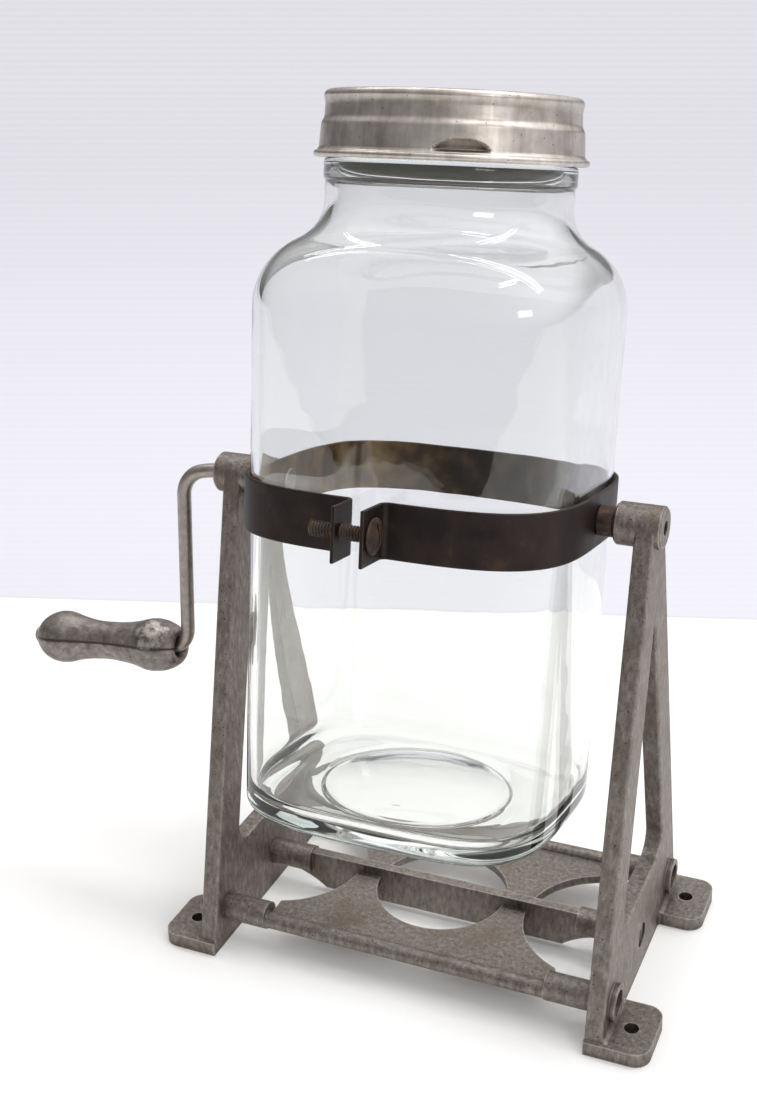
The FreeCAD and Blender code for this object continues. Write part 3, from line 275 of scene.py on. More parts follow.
def turned(profile, count=ROUND, swell=None, bored=False):
    """Points and faces of a closed profile of (radius, height) pairs turned about Z.
    The profile starts and ends on the axis, or runs round a bore.  swell(angle, height)
    adds to the radius."""
    inner = profile if bored else profile[1:-1]
    points = []
    for radius, height in inner:
        for step in range(count):
            angle = 2 * math.pi * step / count
            reach = radius + (swell(angle, height) if swell else 0.0)
            points.append((reach * math.cos(angle), reach * math.sin(angle), height))
    faces = skin([[None] * count for _ in inner])
    if bored:
        last = len(points) - count
        faces += [(last + step, last + (step + 1) % count, (step + 1) % count, step)
                  for step in range(count)]
        return points, faces
    for ring, (_, height), flip in ((0, profile[0], True), (len(inner) - 1, profile[-1], False)):
        centre = len(points)
        points.append((0, 0, height))
        for step in range(count):
            edge = (ring * count + step, ring * count + (step + 1) % count)
            faces.append((centre, *reversed(edge)) if flip else (centre, *edge))
    return points, faces


def gathered(parts):
    """Points and faces of several (points, faces, place) parts, each moved to its place."""
    points = []
    faces = []
    for part_points, part_faces, place in parts:
        start = len(points)
        points += [place @ Vector(point) for point in part_points]
        faces += [tuple(start + corner for corner in face) for face in part_faces]
    return points, faces


def arc(centre, radius, start, end, steps):
    """Points on an arc in the (radius, height) plane, between two angles in degrees."""
    points = []
    for step in range(steps + 1):
        angle = math.radians(start + (end - start) * step / steps)
        points.append((centre[0] + radius * math.cos(angle), centre[1] + radius * math.sin(angle)))
    return points


def bent_path(corners, pace):
    """Points along a plane path of (across, up, bend radius) corners, a pace apart or nearer."""
    spots = [Vector(corner[:2]) for corner in corners]
    points = [spots[0]]
    for index in range(1, len(spots) - 1):
        before = (spots[index - 1] - spots[index]).normalized()
        after = (spots[index + 1] - spots[index]).normalized()
        radius = corners[index][2]
        turn = math.pi - before.angle(after)
        back = radius * math.tan(turn / 2)
        start = spots[index] + before * back
        centre = spots[index] + (before + after).normalized() * (radius / math.cos(turn / 2))
        spoke = start - centre
        sign = 1 if before.cross(after) < 0 else -1
        steps = max(3, math.ceil(turn / math.radians(6)))
        for step in range(steps + 1):
            swing = Matrix.Rotation(sign * turn * step / steps, 2)
            points.append(centre + swing @ spoke)
    points.append(spots[-1])
    spaced = [points[0]]
    for point in points[1:]:
        run = (point - spaced[-1]).length
        if run < 1e-6:
            continue
        parts = max(1, math.ceil(run / pace))
        last = spaced[-1]
        spaced += [last.lerp(point, part / parts) for part in range(1, parts + 1)]
    return spaced


def swept(path, section, placed):
    """Points and faces of a section of (out, across) pairs carried along a plane path.
    placed(point, outward, across) gives a point of the frame; both ends are closed."""
    rings = []
    for index, point in enumerate(path):
        ahead = path[min(index + 1, len(path) - 1)] - path[max(index - 1, 0)]
        ahead.normalize()
        outward = Vector((ahead.y, -ahead.x))
        rings.append([placed(point + outward * out, across) for out, across in section])
    points = [point for ring in rings for point in ring]
    faces = skin(rings)
    count = len(section)
    faces.append(tuple(range(count - 1, -1, -1)))
    faces.append(tuple(len(points) - count + place for place in range(count)))
    return points, faces


def reach_of(angle, side, front, corner):
    """How far a softly squared section reaches from its middle at an angle.  Its diagonals
    are those of a rectangle whose corners have this radius, and where that is the whole
    width it is round."""
    share = corner / ((side + front) / 2)
    power = math.log(2) / -math.log(1 - share * (1 - math.sqrt(0.5)))
    across = abs(math.cos(angle)) / side
    along = abs(math.sin(angle)) / front
    return (across ** power + along ** power) ** (-1 / power)


def jar_levels(sizes, wall):
    """Levels of the jar's sides from the heel to the neck, as (height, side, front, corner).
    The shoulder is an arc outward and then an arc inward, which meet on a slope."""
    slope = math.radians(63.6)
    outer_share = 0.633
    steps = 14
    body_steps = 12
    levels = []
    for step in range(body_steps + 1):
        height = -sizes.depth + (sizes.shoulder + sizes.depth) * step / body_steps
        drop = (sizes.shoulder - height) / (sizes.shoulder + sizes.depth)
        levels.append((height, sizes.side - sizes.side_taper * drop - wall,
                       sizes.front - sizes.front_taper * drop - wall, sizes.corner - wall))
    for step in range(1, 2 * steps + 1):
        rising = step <= steps
        angle = slope * (step if rising else 2 * steps - step) / steps
        part = outer_share if rising else 1 - outer_share
        inset = (1 - math.cos(angle)) * part / (1 - math.cos(slope))
        climb = sizes.shoulder_rise * part * math.sin(angle) / math.sin(slope)
        if not rising:
            inset = 1 - inset
            climb = sizes.shoulder_rise - climb
        height = sizes.shoulder + climb - wall * math.sin(angle)
        side, front, corner = [size + (sizes.neck - size) * inset - wall * math.cos(angle)
                               for size in (sizes.side, sizes.front, sizes.corner)]
        levels.append((height, side, front, min(corner, (side + front) / 2)))
    return levels


def heel_levels(bottom, foot, heel):
    """Levels round a heel of this radius, up from the bottom to the (side, front, corner)
    of the foot, as (height, side, front, corner)."""
    steps = 10
    levels = []
    for step in range(steps + 1):
        turn = math.pi / 2 * step / steps
        inset = heel * (1 - math.sin(turn))
        levels.append((bottom + heel * (1 - math.cos(turn)), *(size - inset for size in foot)))
    return levels


def thread_lift(angle, height):
    """How far the three thread ridges of the mouth stand out at an angle and a height."""
    first_start, sweep, fade_in = 0.86, 0.36, 0.03
    low, climb = 0.1415, 0.0045
    ridge, half_width = 0.0009, 0.0014
    lift = 0.0
    for start in range(3):
        turn = (angle / (2 * math.pi) - start / 3 - first_start) % 1.0
        if turn > sweep:
            continue
        middle = low + climb * turn / sweep
        fade = min(1.0, turn / fade_in, (sweep - turn) / fade_in)
        away = (height - middle) / half_width
        lift = max(lift, ridge * fade * math.exp(-away * away))
    return lift


def section_ring(level, lift=None):
    """A ring of points of the jar at a (height, side, front, corner) level."""
    height, side, front, corner = level
    ring = []
    for step in range(ROUND):
        angle = 2 * math.pi * step / ROUND
        reach = reach_of(angle, side, front, corner) + (lift(angle, height) if lift else 0.0)
        ring.append((reach * math.cos(angle), reach * math.sin(angle), height))
    return ring


def round_rings(places, lift=None):
    """Round rings of the jar at (radius, height) places."""
    return [section_ring((height, radius, radius, radius), lift) for radius, height in places]


def jar_foot(sizes, foot):
    """Rings of the push-up, the step round it, the ring that the jar stands on and the heel."""
    bottom = -sizes.depth
    step = sizes.push_up_step
    ease = 0.0002
    dome = sizes.push_up - step - 2 * ease
    drop = sizes.push_up_rise - step
    sphere = (dome ** 2 + drop ** 2) / (2 * drop)
    shares = (0.0203, 0.1523, 0.3046, 0.4569, 0.5838, 0.6853, 0.7868, 0.8629, 0.9391, 1.0)
    rings = round_rings([(dome * share, bottom + sizes.push_up_rise - sphere
                          + math.sqrt(sphere ** 2 - (dome * share) ** 2)) for share in shares])
    rings += round_rings(arc((sizes.push_up - ease, bottom + step), step, 180, 270, 6))
    start = sizes.push_up + 4 * ease
    flat = [size - sizes.heel for size in foot]
    for blend in (0.25, 0.5, 0.75, 1.0):
        side, front, corner = [start + (size - start) * blend for size in flat]
        rings.append(section_ring((bottom, side, front, min(corner, (side + front) / 2))))
    return rings + [section_ring(level) for level in heel_levels(bottom, foot, sizes.heel)[1:]]


def jar_neck(sizes, neck_start, ledge, top):
    """Rings of the neck, its bead, the threaded mouth and the mouth's rounded rim."""
    swell = 2 * (sizes.bead - sizes.neck)
    bead_low = ledge - sizes.bead_height
    outer_lip = 0.0011
    inner_lip = 0.0009
    rows = 33
    collar = [(sizes.neck, neck_start + 0.003), (sizes.neck, bead_low - 0.0004)]
    collar += arc((sizes.bead - swell, bead_low + swell), swell, -60, 0, 5)
    collar += arc((sizes.bead - swell, ledge - swell), swell, 0, 80, 6)
    collar += [(sizes.mouth + 0.0004, ledge), (sizes.mouth + 0.0001, ledge + 0.0002)]
    climb = sizes.mouth_rise - 0.0016
    threaded = [(sizes.mouth, ledge + 0.0004 + climb * row / rows) for row in range(1, rows + 1)]
    inner = sizes.mouth - sizes.wall
    rim = arc((sizes.mouth - outer_lip, top - outer_lip), outer_lip, 15, 90, 6)
    rim += arc((inner + inner_lip, top - inner_lip), inner_lip, 90, 180, 6)
    rim += [(inner, ledge + 0.004), (inner, ledge), (sizes.neck - sizes.wall, ledge - sizes.wall),
            (sizes.neck - sizes.wall, neck_start + 0.004)]
    return round_rings(collar) + round_rings(threaded, thread_lift) + round_rings(rim)


class CHURN_OT_jar(bpy.types.Operator):
    """Builds the pressed glass jar"""
    bl_idname = "churn.jar"
    bl_label = "Glass jar"

    def execute(self, context):
        sizes = context.scene.churn_jar
        neck_start = sizes.shoulder + sizes.shoulder_rise
        ledge = neck_start + sizes.neck_rise
        floor = sizes.base - sizes.depth
        join = 0.001
        outside = jar_levels(sizes, 0.0)
        inside = jar_levels(sizes, sizes.wall)
        outer_foot = (outside[0][1], outside[0][2], sizes.corner)
        rings = jar_foot(sizes, outer_foot)
        rings += [section_ring(level) for level in outside
                  if level[0] > sizes.heel - sizes.depth + join]
        rings += jar_neck(sizes, neck_start, ledge, ledge + sizes.mouth_rise)
        rings += [section_ring(level) for level in reversed(inside)
                  if level[0] > floor + sizes.inner_heel + join]
        rings += [section_ring(level)
                  for level in reversed(heel_levels(floor, inside[0][1:], sizes.inner_heel))]
        inner_dome = ((0.0505, 0.0), (0.045, 0.0003), (0.041, 0.0013), (0.037, 0.0026),
                      (0.033, 0.0034), (0.027, 0.0042), (0.020, 0.0050), (0.012, 0.0056),
                      (0.004, 0.0059), (0.0008, 0.0059))
        rings += round_rings([(radius, floor + rise) for radius, rise in inner_dome])

        points = [point for ring in rings for point in ring]
        faces = skin(rings)
        last = (len(rings) - 1) * ROUND
        faces.append(tuple(range(ROUND - 1, -1, -1)))
        faces.append(tuple(last + place for place in range(ROUND)))
        jar = make_piece("glass_jar", points, faces, [soda_lime_glass(sizes.tint)], LEANED)
        jar.visible_shadow = False
        seat(jar, "cradle", "jar")
        return {"FINISHED"}


def lug_press(angle, height, foot):
    """How far the three pressed lugs of the lid go in at an angle and a height."""
    first = math.radians(54.7)
    half_sweep = math.radians(11.5)
    lift, tall, deep, lip_rise = 0.0032, 0.0050, 0.0019, 0.0009
    low = foot + lift
    press = 0.0
    for number in range(3):
        middle = first + 2 * math.pi / 3 * number
        across = ((angle - middle + math.pi) % (2 * math.pi) - math.pi) / half_sweep
        if abs(across) >= 1:
            continue
        bow = math.sqrt(1 - across * across)
        high = low + tall * bow
        if not low <= height <= high:
            continue
        lip = min(1.0, (height - low) / lip_rise)
        fall = min(1.0, (high - height) / (tall * bow + 1e-9) * 1.5)
        press = max(press, deep * bow ** 0.5 * lip * fall ** 0.8)
    return press


def lid_outside(sizes, top, foot):
    """The outer profile of the lid from the middle of its crown to the roll of its bead."""
    sheet = sizes.sheet
    step_top = top - sizes.step_drop
    step_foot = step_top - sizes.step_height
    crown_side = sizes.crown - 0.0006
    wall_top = top - 2 * sizes.roll
    skirt = foot + 4.3 * sheet
    roll = 1.5 * sheet
    outer = [(radius, top) for radius in (0.0, 0.008, 0.02, 0.03, 0.038, 0.044, 0.047)]
    outer += arc((sizes.crown - sizes.roll, top - sizes.roll), sizes.roll, 90, -25, 14)
    for start, end, high, low, steps, eased in (
            (crown_side, sizes.waist, wall_top, step_top, 7, False),
            (sizes.waist, sizes.skirt_top, step_top, step_foot, 8, True),
            (sizes.skirt_top, sizes.skirt, step_foot, skirt, 26, False)):
        for step in range(1, steps + 1):
            blend = step / steps
            share = blend * blend * (3 - 2 * blend) if eased else blend
            outer.append((start + (end - start) * share, high + (low - high) * blend))
    outer.append((sizes.bead - roll - 0.0002, foot + 2 * roll + 0.0004))
    return outer + arc((sizes.bead - roll, foot + roll), roll, 90, -90, 12)


class CHURN_OT_lid(bpy.types.Operator):
    """Builds the spun lid with its rolled edges and pressed lugs"""
    bl_idname = "churn.lid"
    bl_label = "Lid"

    def execute(self, context):
        sizes = context.scene.churn_lid
        jar = context.scene.churn_jar
        sheet = sizes.sheet
        over_mouth = 0.00445
        least_press, shown_press = 0.0505, 0.0001
        top = jar.shoulder + jar.shoulder_rise + jar.neck_rise + jar.mouth_rise + over_mouth
        foot = top - sizes.height
        outer = lid_outside(sizes, top, foot)
        inner = []
        for index in range(1, len(outer)):
            before = outer[index - 1]
            after = outer[min(index + 1, len(outer) - 1)]
            run = (after[0] - before[0], after[1] - before[1])
            size = math.hypot(*run) or 1.0
            if outer[index][1] > foot + 4.1 * sheet:
                inner.append((outer[index][0] + run[1] / size * sheet,
                              outer[index][1] - run[0] / size * sheet))
        bead = sizes.bead - sheet
        rim = [(bead - 1.2 * sheet, foot + 0.0004), (bead - 1.5 * sheet, foot + 1.5 * sheet)]
        profile = outer + rim + list(reversed(inner)) + [(0.0, top - sheet)]
        points, faces = turned(profile, 384)
        pressed = []
        depths = []
        for point in points:
            angle = math.atan2(point[1], point[0])
            radius = math.hypot(point[0], point[1])
            press = lug_press(angle, point[2], foot) if radius > least_press else 0.0
            scale = (radius - press) / radius if radius > 1e-6 else 1.0
            pressed.append((point[0] * scale, point[1] * scale, point[2]))
            depths.append(press)
        metal = spun_aluminium("spun_aluminium_aged", sizes.metal, sizes.stain)
        # A darker copy of the metal for the faces of the pressed lugs: painted shade in their
        # recesses
        recess_shaded_metal = spun_aluminium("spun_aluminium_recess_shaded", "#9A9087", "#6A6057")
        lid = make_piece("spun_lid", pressed, faces, [metal, recess_shaded_metal], LEANED)
        for polygon in lid.data.polygons:
            deepest = max(depths[corner] for corner in polygon.vertices)
            polygon.material_index = 1 if deepest > shown_press else 0
        seat(lid, "lid", "lid_shell")
        return {"FINISHED"}


def band_reach(context):
    """The outer face of the band: middle to the side and to the front, at the trunnions."""
    band = context.scene.churn_band
    jar = context.scene.churn_jar
    drop = jar.shoulder / (jar.shoulder + jar.depth)
    side = jar.side - jar.side_taper * drop + band.side_gap + band.thick
    front = jar.front - jar.front_taper * drop + band.front_gap + band.thick
    return side, front


def ear_faces(band):
    """How far left and right of the middle the middles of the two ears lie."""
    half = band.thick / 2
    return (-(band.ear_gap / 2 + band.gap_offset + half),
            band.ear_gap / 2 - band.gap_offset + half)


class CHURN_OT_band(bpy.types.Operator):
    """Builds the steel band, bent out at the front into two ears"""
    bl_idname = "churn.band"
    bl_label = "Band"

    def execute(self, context):
        band = context.scene.churn_band
        crank = context.scene.churn_crank
        side, front = band_reach(context)
        half = band.thick / 2
        corner = context.scene.churn_jar.corner + band.side_gap + half
        left, right = ear_faces(band)
        loop = []
        steps = 160
        start = math.atan2(half - front, left - 2 * band.ear_bend)
        sweep = math.atan2(half - front, right + 2 * band.ear_bend) - start - 2 * math.pi
        for step in range(steps + 1):
            angle = start + sweep * step / steps
            reach = reach_of(angle, side - half, front - half, corner)
            loop.append(Vector((reach * math.cos(angle), reach * math.sin(angle))))
        pace = 0.004
        path = bent_path([(left, -front - band.left_ear), (left, loop[0].y, band.ear_bend),
                          tuple(loop[0])], pace)[:-1]
        path += loop
        path += bent_path([tuple(loop[-1]), (right, loop[-1].y, band.ear_bend),
                           (right, -front - band.right_ear)], pace)[1:]
        tall = band.height / 2
        edge = 0.00045
        section = []
        for across, up, start in ((half - edge, tall - edge, 0), (edge - half, tall - edge, 90),
                                  (edge - half, edge - tall, 180), (half - edge, edge - tall, 270)):
            section += arc((across, up), edge, start, start + 90, 3)
            if start in (90, 270):
                face = 1 if start == 270 else -1
                section += [(face * half, -face * tall * part) for part in (0.9, 0.3, -0.3, -0.9)]
        points, faces = swept(path, section, lambda spot, up: (spot.x, spot.y, up))
        strip = make_piece("steel_band", points, faces, [browned_steel()], LEANED, 35)
        for ahead, radius, reach in ((0.0, crank.rod, 2 * side),
                                     (-front - band.screw_out, band.screw + 0.0002, 0.02)):
            drill, drill_faces = turned([(0.0, -reach), (radius, -reach), (radius, reach),
                                         (0.0, reach)], 48)
            cut(strip, drill, drill_faces,
                LEANED @ Matrix.Translation((0, ahead, 0)) @ ALONG_X, 35)
        seat(strip, "cradle", "clamp_band")
        return {"FINISHED"}


class CHURN_OT_clamp_screw(bpy.types.Operator):
    """Builds the clamp screw with its thread and its slotted head"""
    bl_idname = "churn.clamp_screw"
    bl_label = "Clamp screw"

    def execute(self, context):
        band = context.scene.churn_band
        _, front = band_reach(context)
        left, right = ear_faces(band)
        half = band.thick / 2
        head_seat = right + half
        shank_length = head_seat - (left - half) + band.tail
        point = 0.0006
        rows = math.ceil(shank_length / (band.pitch / 8))
        shank = [(0.0, -shank_length), (0.0014, -shank_length), (0.0022, 0.0002 - shank_length)]
        shank += [(band.screw, point - shank_length + (shank_length - point) * row / rows)
                  for row in range(rows + 1)]
        rim = 0.0009
        dome = (band.head ** 2 + (band.head_rise - rim) ** 2) / (2 * (band.head_rise - rim))
        head = [(band.head - 0.0003, 0.00005), (band.head, 0.0004), (band.head, 0.0008)]
        steps = 12
        for step in range(1, steps):
            radius = band.head * math.cos(step / steps * math.pi / 2)
            head.append((radius, band.head_rise - dome + math.sqrt(dome ** 2 - radius ** 2)))

        def thread(angle, height):
            if height > -0.0002 or height < point - shank_length:
                return 0.0
            turn = (height / band.pitch - angle / (2 * math.pi)) % 1.0
            groove = min(1.0, abs(2 * turn - 1.0) * 1.25)
            run_out = min(1.0, -height / 0.001)
            return -0.00068 * groove * run_out

        points, faces = turned(shank + head + [(0.0, band.head_rise)], 64, thread)
        place = LEANED @ Matrix.Translation((head_seat + 0.0001, -front - band.screw_out, 0))
        place = place @ ALONG_X
        screw = make_piece("clamp_screw_threaded", points, faces, [rusted_screw()], place, 50)
        half_width, reach, deep, tall = 0.0008, 0.009, band.head_rise - 0.0015, 0.004
        box = [(across, along, up) for up in (deep, deep + tall)
               for across, along in ((-reach, -half_width), (reach, -half_width),
                                     (reach, half_width), (-reach, half_width))]
        sides = [(0, 3, 2, 1), (4, 5, 6, 7), (0, 1, 5, 4), (1, 2, 6, 5), (2, 3, 7, 6), (3, 0, 4, 7)]
        cut(screw, box, sides, place @ Matrix.Rotation(math.radians(8), 4, "Z"), 40)
        seat(screw, "cradle", "clamp_screw")
        return {"FINISHED"}


class CHURN_OT_collars(bpy.types.Operator):
    """Builds the two collars between the band and the bosses"""
    bl_idname = "churn.collars"
    bl_label = "Collars"

    def execute(self, context):
        sizes = context.scene.churn_crank
        start, _ = band_reach(context)
        end = sizes.boss - sizes.play
        bore = sizes.rod + 0.00003
        chamfer = 0.0006
        ring = [(bore, start), (sizes.collar - chamfer, start), (sizes.collar, start + chamfer),
                (sizes.collar + 0.0001, (start + end) / 2), (sizes.collar, end - 0.0007),
                (sizes.collar - 0.0007, end), (bore, end)]
        rust = rusted_collar()
        for name, node, flip in (("left_collar_turned", "left_trunnion_collar", -1),
                                 ("right_collar_turned", "right_trunnion_collar", 1)):
            points, faces = turned(ring, 96, None, True)
            place = LEANED @ Matrix.Rotation(flip * math.pi / 2, 4, "Y")
            collar = make_piece(name, points, faces, [rust], place, 30)
            seat(collar, "cradle", node)
        return {"FINISHED"}


def peened_head(inside):
    """Outer half of the profile of the flat riveted head that a rod has on the inner face
    of the band, which lies this far from the middle."""
    return [(0.0030, inside - 0.0008), (0.0046, inside - 0.00065), (0.0053, inside - 0.0003),
            (0.0055, inside)]


class CHURN_OT_rods(bpy.types.Operator):
    """Builds the right trunnion pin and the bent crank rod"""
    bl_idname = "churn.rods"
    bl_label = "Trunnion pin and crank rod"

    def execute(self, context):
        sizes = context.scene.churn_crank
        side, _ = band_reach(context)
        steel = drawn_rod()
        inside = side - context.scene.churn_band.thick
        tip = 0.095
        chamfer = 0.0005
        head = peened_head(inside)
        pin = [(0.0, head[0][1])] + head
        pin += [(sizes.rod, inside + 0.00005), (sizes.rod, tip - chamfer),
                (sizes.rod - chamfer, tip), (0.0, tip)]
        points, faces = turned(pin, 64)
        piece = make_piece("right_pin_turned", points, faces, [steel], LEANED @ ALONG_X, 30)
        seat(piece, "cradle", "right_trunnion_pin")

        # The rod leaves its boss in a wide sweep, bends down, and bends out into the grip
        gentle, sweep, corner = math.radians(15), 0.040, 0.010
        droop = math.asin(-(CRANKED.inverted().to_3x3() @ GRIP_OUTWARD).z)
        bend = (sizes.offset - sizes.exit - sweep * math.sin(gentle)) / (1 - math.sin(gentle))
        knee = (sweep * (1 - math.cos(gentle))
                + bend * math.tan((math.pi / 2 - gentle) / 2) * math.sin(gentle))
        reach = sizes.grip_start + sizes.grip_length + 0.0004
        path = bent_path([
            (-inside, 0.0),
            (-sizes.exit - sweep * math.tan(gentle / 2), 0.0, sweep),
            (-sizes.offset, -knee, bend),
            (-sizes.offset, -THROW, corner),
            (-sizes.offset - reach * math.cos(droop), -THROW - reach * math.sin(droop)),
        ], 0.003)
        section = arc((0, 0), sizes.rod, 0, 360, 48)[:-1]
        bar = swept(path, section, lambda spot, across: (spot.x, across, spot.y))
        dome = turned([(0.0, 0.0), (0.0036, 0.0), (0.0039, 0.0006), (0.0036, 0.0013),
                       (0.0026, 0.0019), (0.0, 0.00215)], 48)
        rivet = [(0.0, -0.0002)]
        rivet += [(radius, inside - place) for radius, place in reversed(head)]
        rivet += [(0.0, inside - head[0][1])]
        points, faces = gathered([
            (*bar, CRANKED),
            (*dome, ON_GRIP @ Matrix.Translation((0, 0, reach))),
            (*turned(rivet, 64), LEANED @ Matrix.Translation((-inside, 0, 0)) @ ALONG_X),
        ])
        rod = make_piece("crank_rod_bent", points, faces, [steel], FLAT, 40)
        seat(rod, "cradle", "crank_rod")
        return {"FINISHED"}


def grip_radius(sizes):
    """The radius of the grip at a place along it: two bulbs with a waist between them, three
    arcs that run into each other."""
    start = sizes.grip_start
    inner, inner_curve = start + 0.013, 0.021
    outer, outer_curve = start + sizes.grip_length - 0.014, 0.016
    rise = sizes.bulb - sizes.waist
    span = outer - inner
    middle = (span + 2 * rise * (inner_curve - outer_curve) / span) / 2
    waist_curve = (middle ** 2 + rise ** 2) / (2 * rise) - inner_curve
    inner_end = inner + middle * inner_curve / (inner_curve + waist_curve)
    outer_end = outer - (span - middle) * outer_curve / (outer_curve + waist_curve)

    def radius_at(place):
        if place < inner_end:
            return sizes.bulb - inner_curve + math.sqrt(inner_curve ** 2 - (place - inner) ** 2)
        if place > outer_end:
            return sizes.bulb - outer_curve + math.sqrt(outer_curve ** 2 - (place - outer) ** 2)
        away = place - inner - middle
        return sizes.waist + waist_curve - math.sqrt(waist_curve ** 2 - away ** 2)

    return radius_at


class CHURN_OT_grip(bpy.types.Operator):
    """Builds the cast grip with the seam of its mould"""
    bl_idname = "churn.grip"
    bl_label = "Grip"

    def execute(self, context):
        sizes = context.scene.churn_crank
        start = sizes.grip_start
        end = start + sizes.grip_length
        radius_at = grip_radius(sizes)
        bore = sizes.rod + 0.0001
        flare, flare_depth = 0.0054, 0.005
        profile = [(bore, end), (bore, start + flare_depth), (flare, start),
                   (radius_at(start) - 0.0005, start)]
        steps = 120
        for step in range(steps + 1):
            place = start + 0.0002 + (end - start - 0.0006) * step / steps
            profile.append((radius_at(place) - (0.0002 if step in (0, steps) else 0.0), place))
        profile.append((radius_at(end) - 0.0008, end))
        seam_rise, seam_width = 0.00028, 0.0006

        def swell(angle, height):
            if not start + 0.0001 < height < end - 0.0001:
                return 0.0
            ridge = 0.0
            for seam in (GRIP_SEAM, GRIP_SEAM + math.pi):
                away = abs((angle - seam + math.pi) % (2 * math.pi) - math.pi) * sizes.waist
                ridge = max(ridge, seam_rise * math.exp(-(away / seam_width) ** 2))
            spot = Vector((math.cos(angle) * 0.011, math.sin(angle) * 0.011, height))
            lumps = noise.noise(spot * 130) * 0.00016 + noise.noise(spot * 420) * 0.00006
            edge = min(1.0, (height - start) / 0.002, (end - height) / 0.002)
            return (lumps + ridge) * edge - 0.0002

        points, faces = turned(profile, 192, swell, True)
        grip = make_piece("crank_grip_cast", points, faces, [cast_grip_metal()], ON_GRIP, 50)
        seat(grip, "grip", "crank_grip")
        return {"FINISHED"}


def jar_place(tree):
    """Places in the leaned frame of the jar, whose Z runs along its axis."""
    place = add_node(tree, "ShaderNodeTexCoord")
    return add_node(tree, "ShaderNodeMapping", {"vector_type": "TEXTURE"},
                    {"Location": AXLE, "Rotation": (-LEAN, 0.0, 0.0)},
                    {"Vector": place.outputs["Object"]})


def edge_wear_and_highlight(tree, size, full=0.90, most=1.0):
    """A mask of the edges of a piece, this many millimetres wide, by which the finishes lighten
    their edges: partly wear, partly a painted highlight.  It reaches its most where the eased
    surface and the plain one meet at the full cosine."""
    eased = add_node(tree, "ShaderNodeBevel", {"samples": 4}, {"Radius": size / 1000})
    plain = add_node(tree, "ShaderNodeNewGeometry")
    match = add_node(tree, "ShaderNodeVectorMath", {"operation": "DOT_PRODUCT"},
                     links={0: eased, 1: plain.outputs["Normal"]})
    return add_node(tree, "ShaderNodeMapRange",
                    values={"From Min": 0.999, "From Max": full, "To Max": most},
                    links={"Value": match.outputs["Value"]})


def painted_corner_shade(tree, size):
    """A mask of hemmed-in corners, this many millimetres deep, where the finishes darken the
    colour: painted shade.
    """
    open_share = add_node(tree, "ShaderNodeAmbientOcclusion", {"samples": 6},
                          {"Distance": size / 1000})
    return add_node(tree, "ShaderNodeMapRange", values={"From Min": 0.75, "From Max": 0.25},
                    links={"Value": open_share.outputs["AO"]})


def inner_side(tree, place):
    """A mask of the faces of a piece that look at the axis of the jar, whose own frame the
    places are in."""
    level = add_node(tree, "ShaderNodeVectorMath", {"operation": "MULTIPLY"},
                     {1: (1.0, 1.0, 0.0)}, {0: place})
    outward = add_node(tree, "ShaderNodeVectorMath", {"operation": "NORMALIZE"},
                       links={0: level})
    shape = add_node(tree, "ShaderNodeTexCoord")
    facing = add_node(tree, "ShaderNodeVectorMath", {"operation": "DOT_PRODUCT"},
                      links={0: outward, 1: shape.outputs["Normal"]})
    return add_node(tree, "ShaderNodeMapRange", values={"From Min": -0.3, "From Max": -0.6},
                    links={"Value": facing.outputs["Value"]})


def mixed(tree, share, first, second):
    """A mix of two colours by a share.  Each is a node, a socket, an sRGB hex colour or a
    linear colour."""
    values = {}
    links = {0: share}
    for socket, shade in ((6, first), (7, second)):
        if isinstance(shade, (bpy.types.Node, bpy.types.NodeSocket)):
            links[socket] = shade
        else:
            values[socket] = linear(shade) if isinstance(shade, str) else shade
    return add_node(tree, "ShaderNodeMix", {"data_type": "RGBA"}, values, links).outputs[2]


def soda_lime_glass(tint):
    """Pressed soda-lime glass: clear where it is thin and a little green where it is thick,
    with the faint waviness that a mould leaves, which makes what is behind it ripple."""
    material, tree = new_material("pressed_soda_lime_glass")
    place = add_node(tree, "ShaderNodeTexCoord")
    wave = add_node(tree, "ShaderNodeTexNoise", values={"Scale": per_mm(26), "Detail": 1.5},
                    links={"Vector": place.outputs["Object"]})
    bump = add_node(tree, "ShaderNodeBump", values={"Strength": 0.22, "Distance": 0.0007},
                    links={"Height": wave})
    glass = add_node(tree, "ShaderNodeBsdfPrincipled",
                     values={"Base Color": tint, "Roughness": 0.0, "IOR": 1.51,
                             "Transmission Weight": 1.0},
                     links={"Normal": bump})
    # Iron in the sand tints glass green over the centimetres that light runs through a base
    green = add_node(tree, "ShaderNodeVolumeAbsorption",
                     values={"Color": linear("#BFD8C8"), "Density": 6.0})
    add_node(tree, "ShaderNodeOutputMaterial", links={"Surface": glass, "Volume": green})
    return material


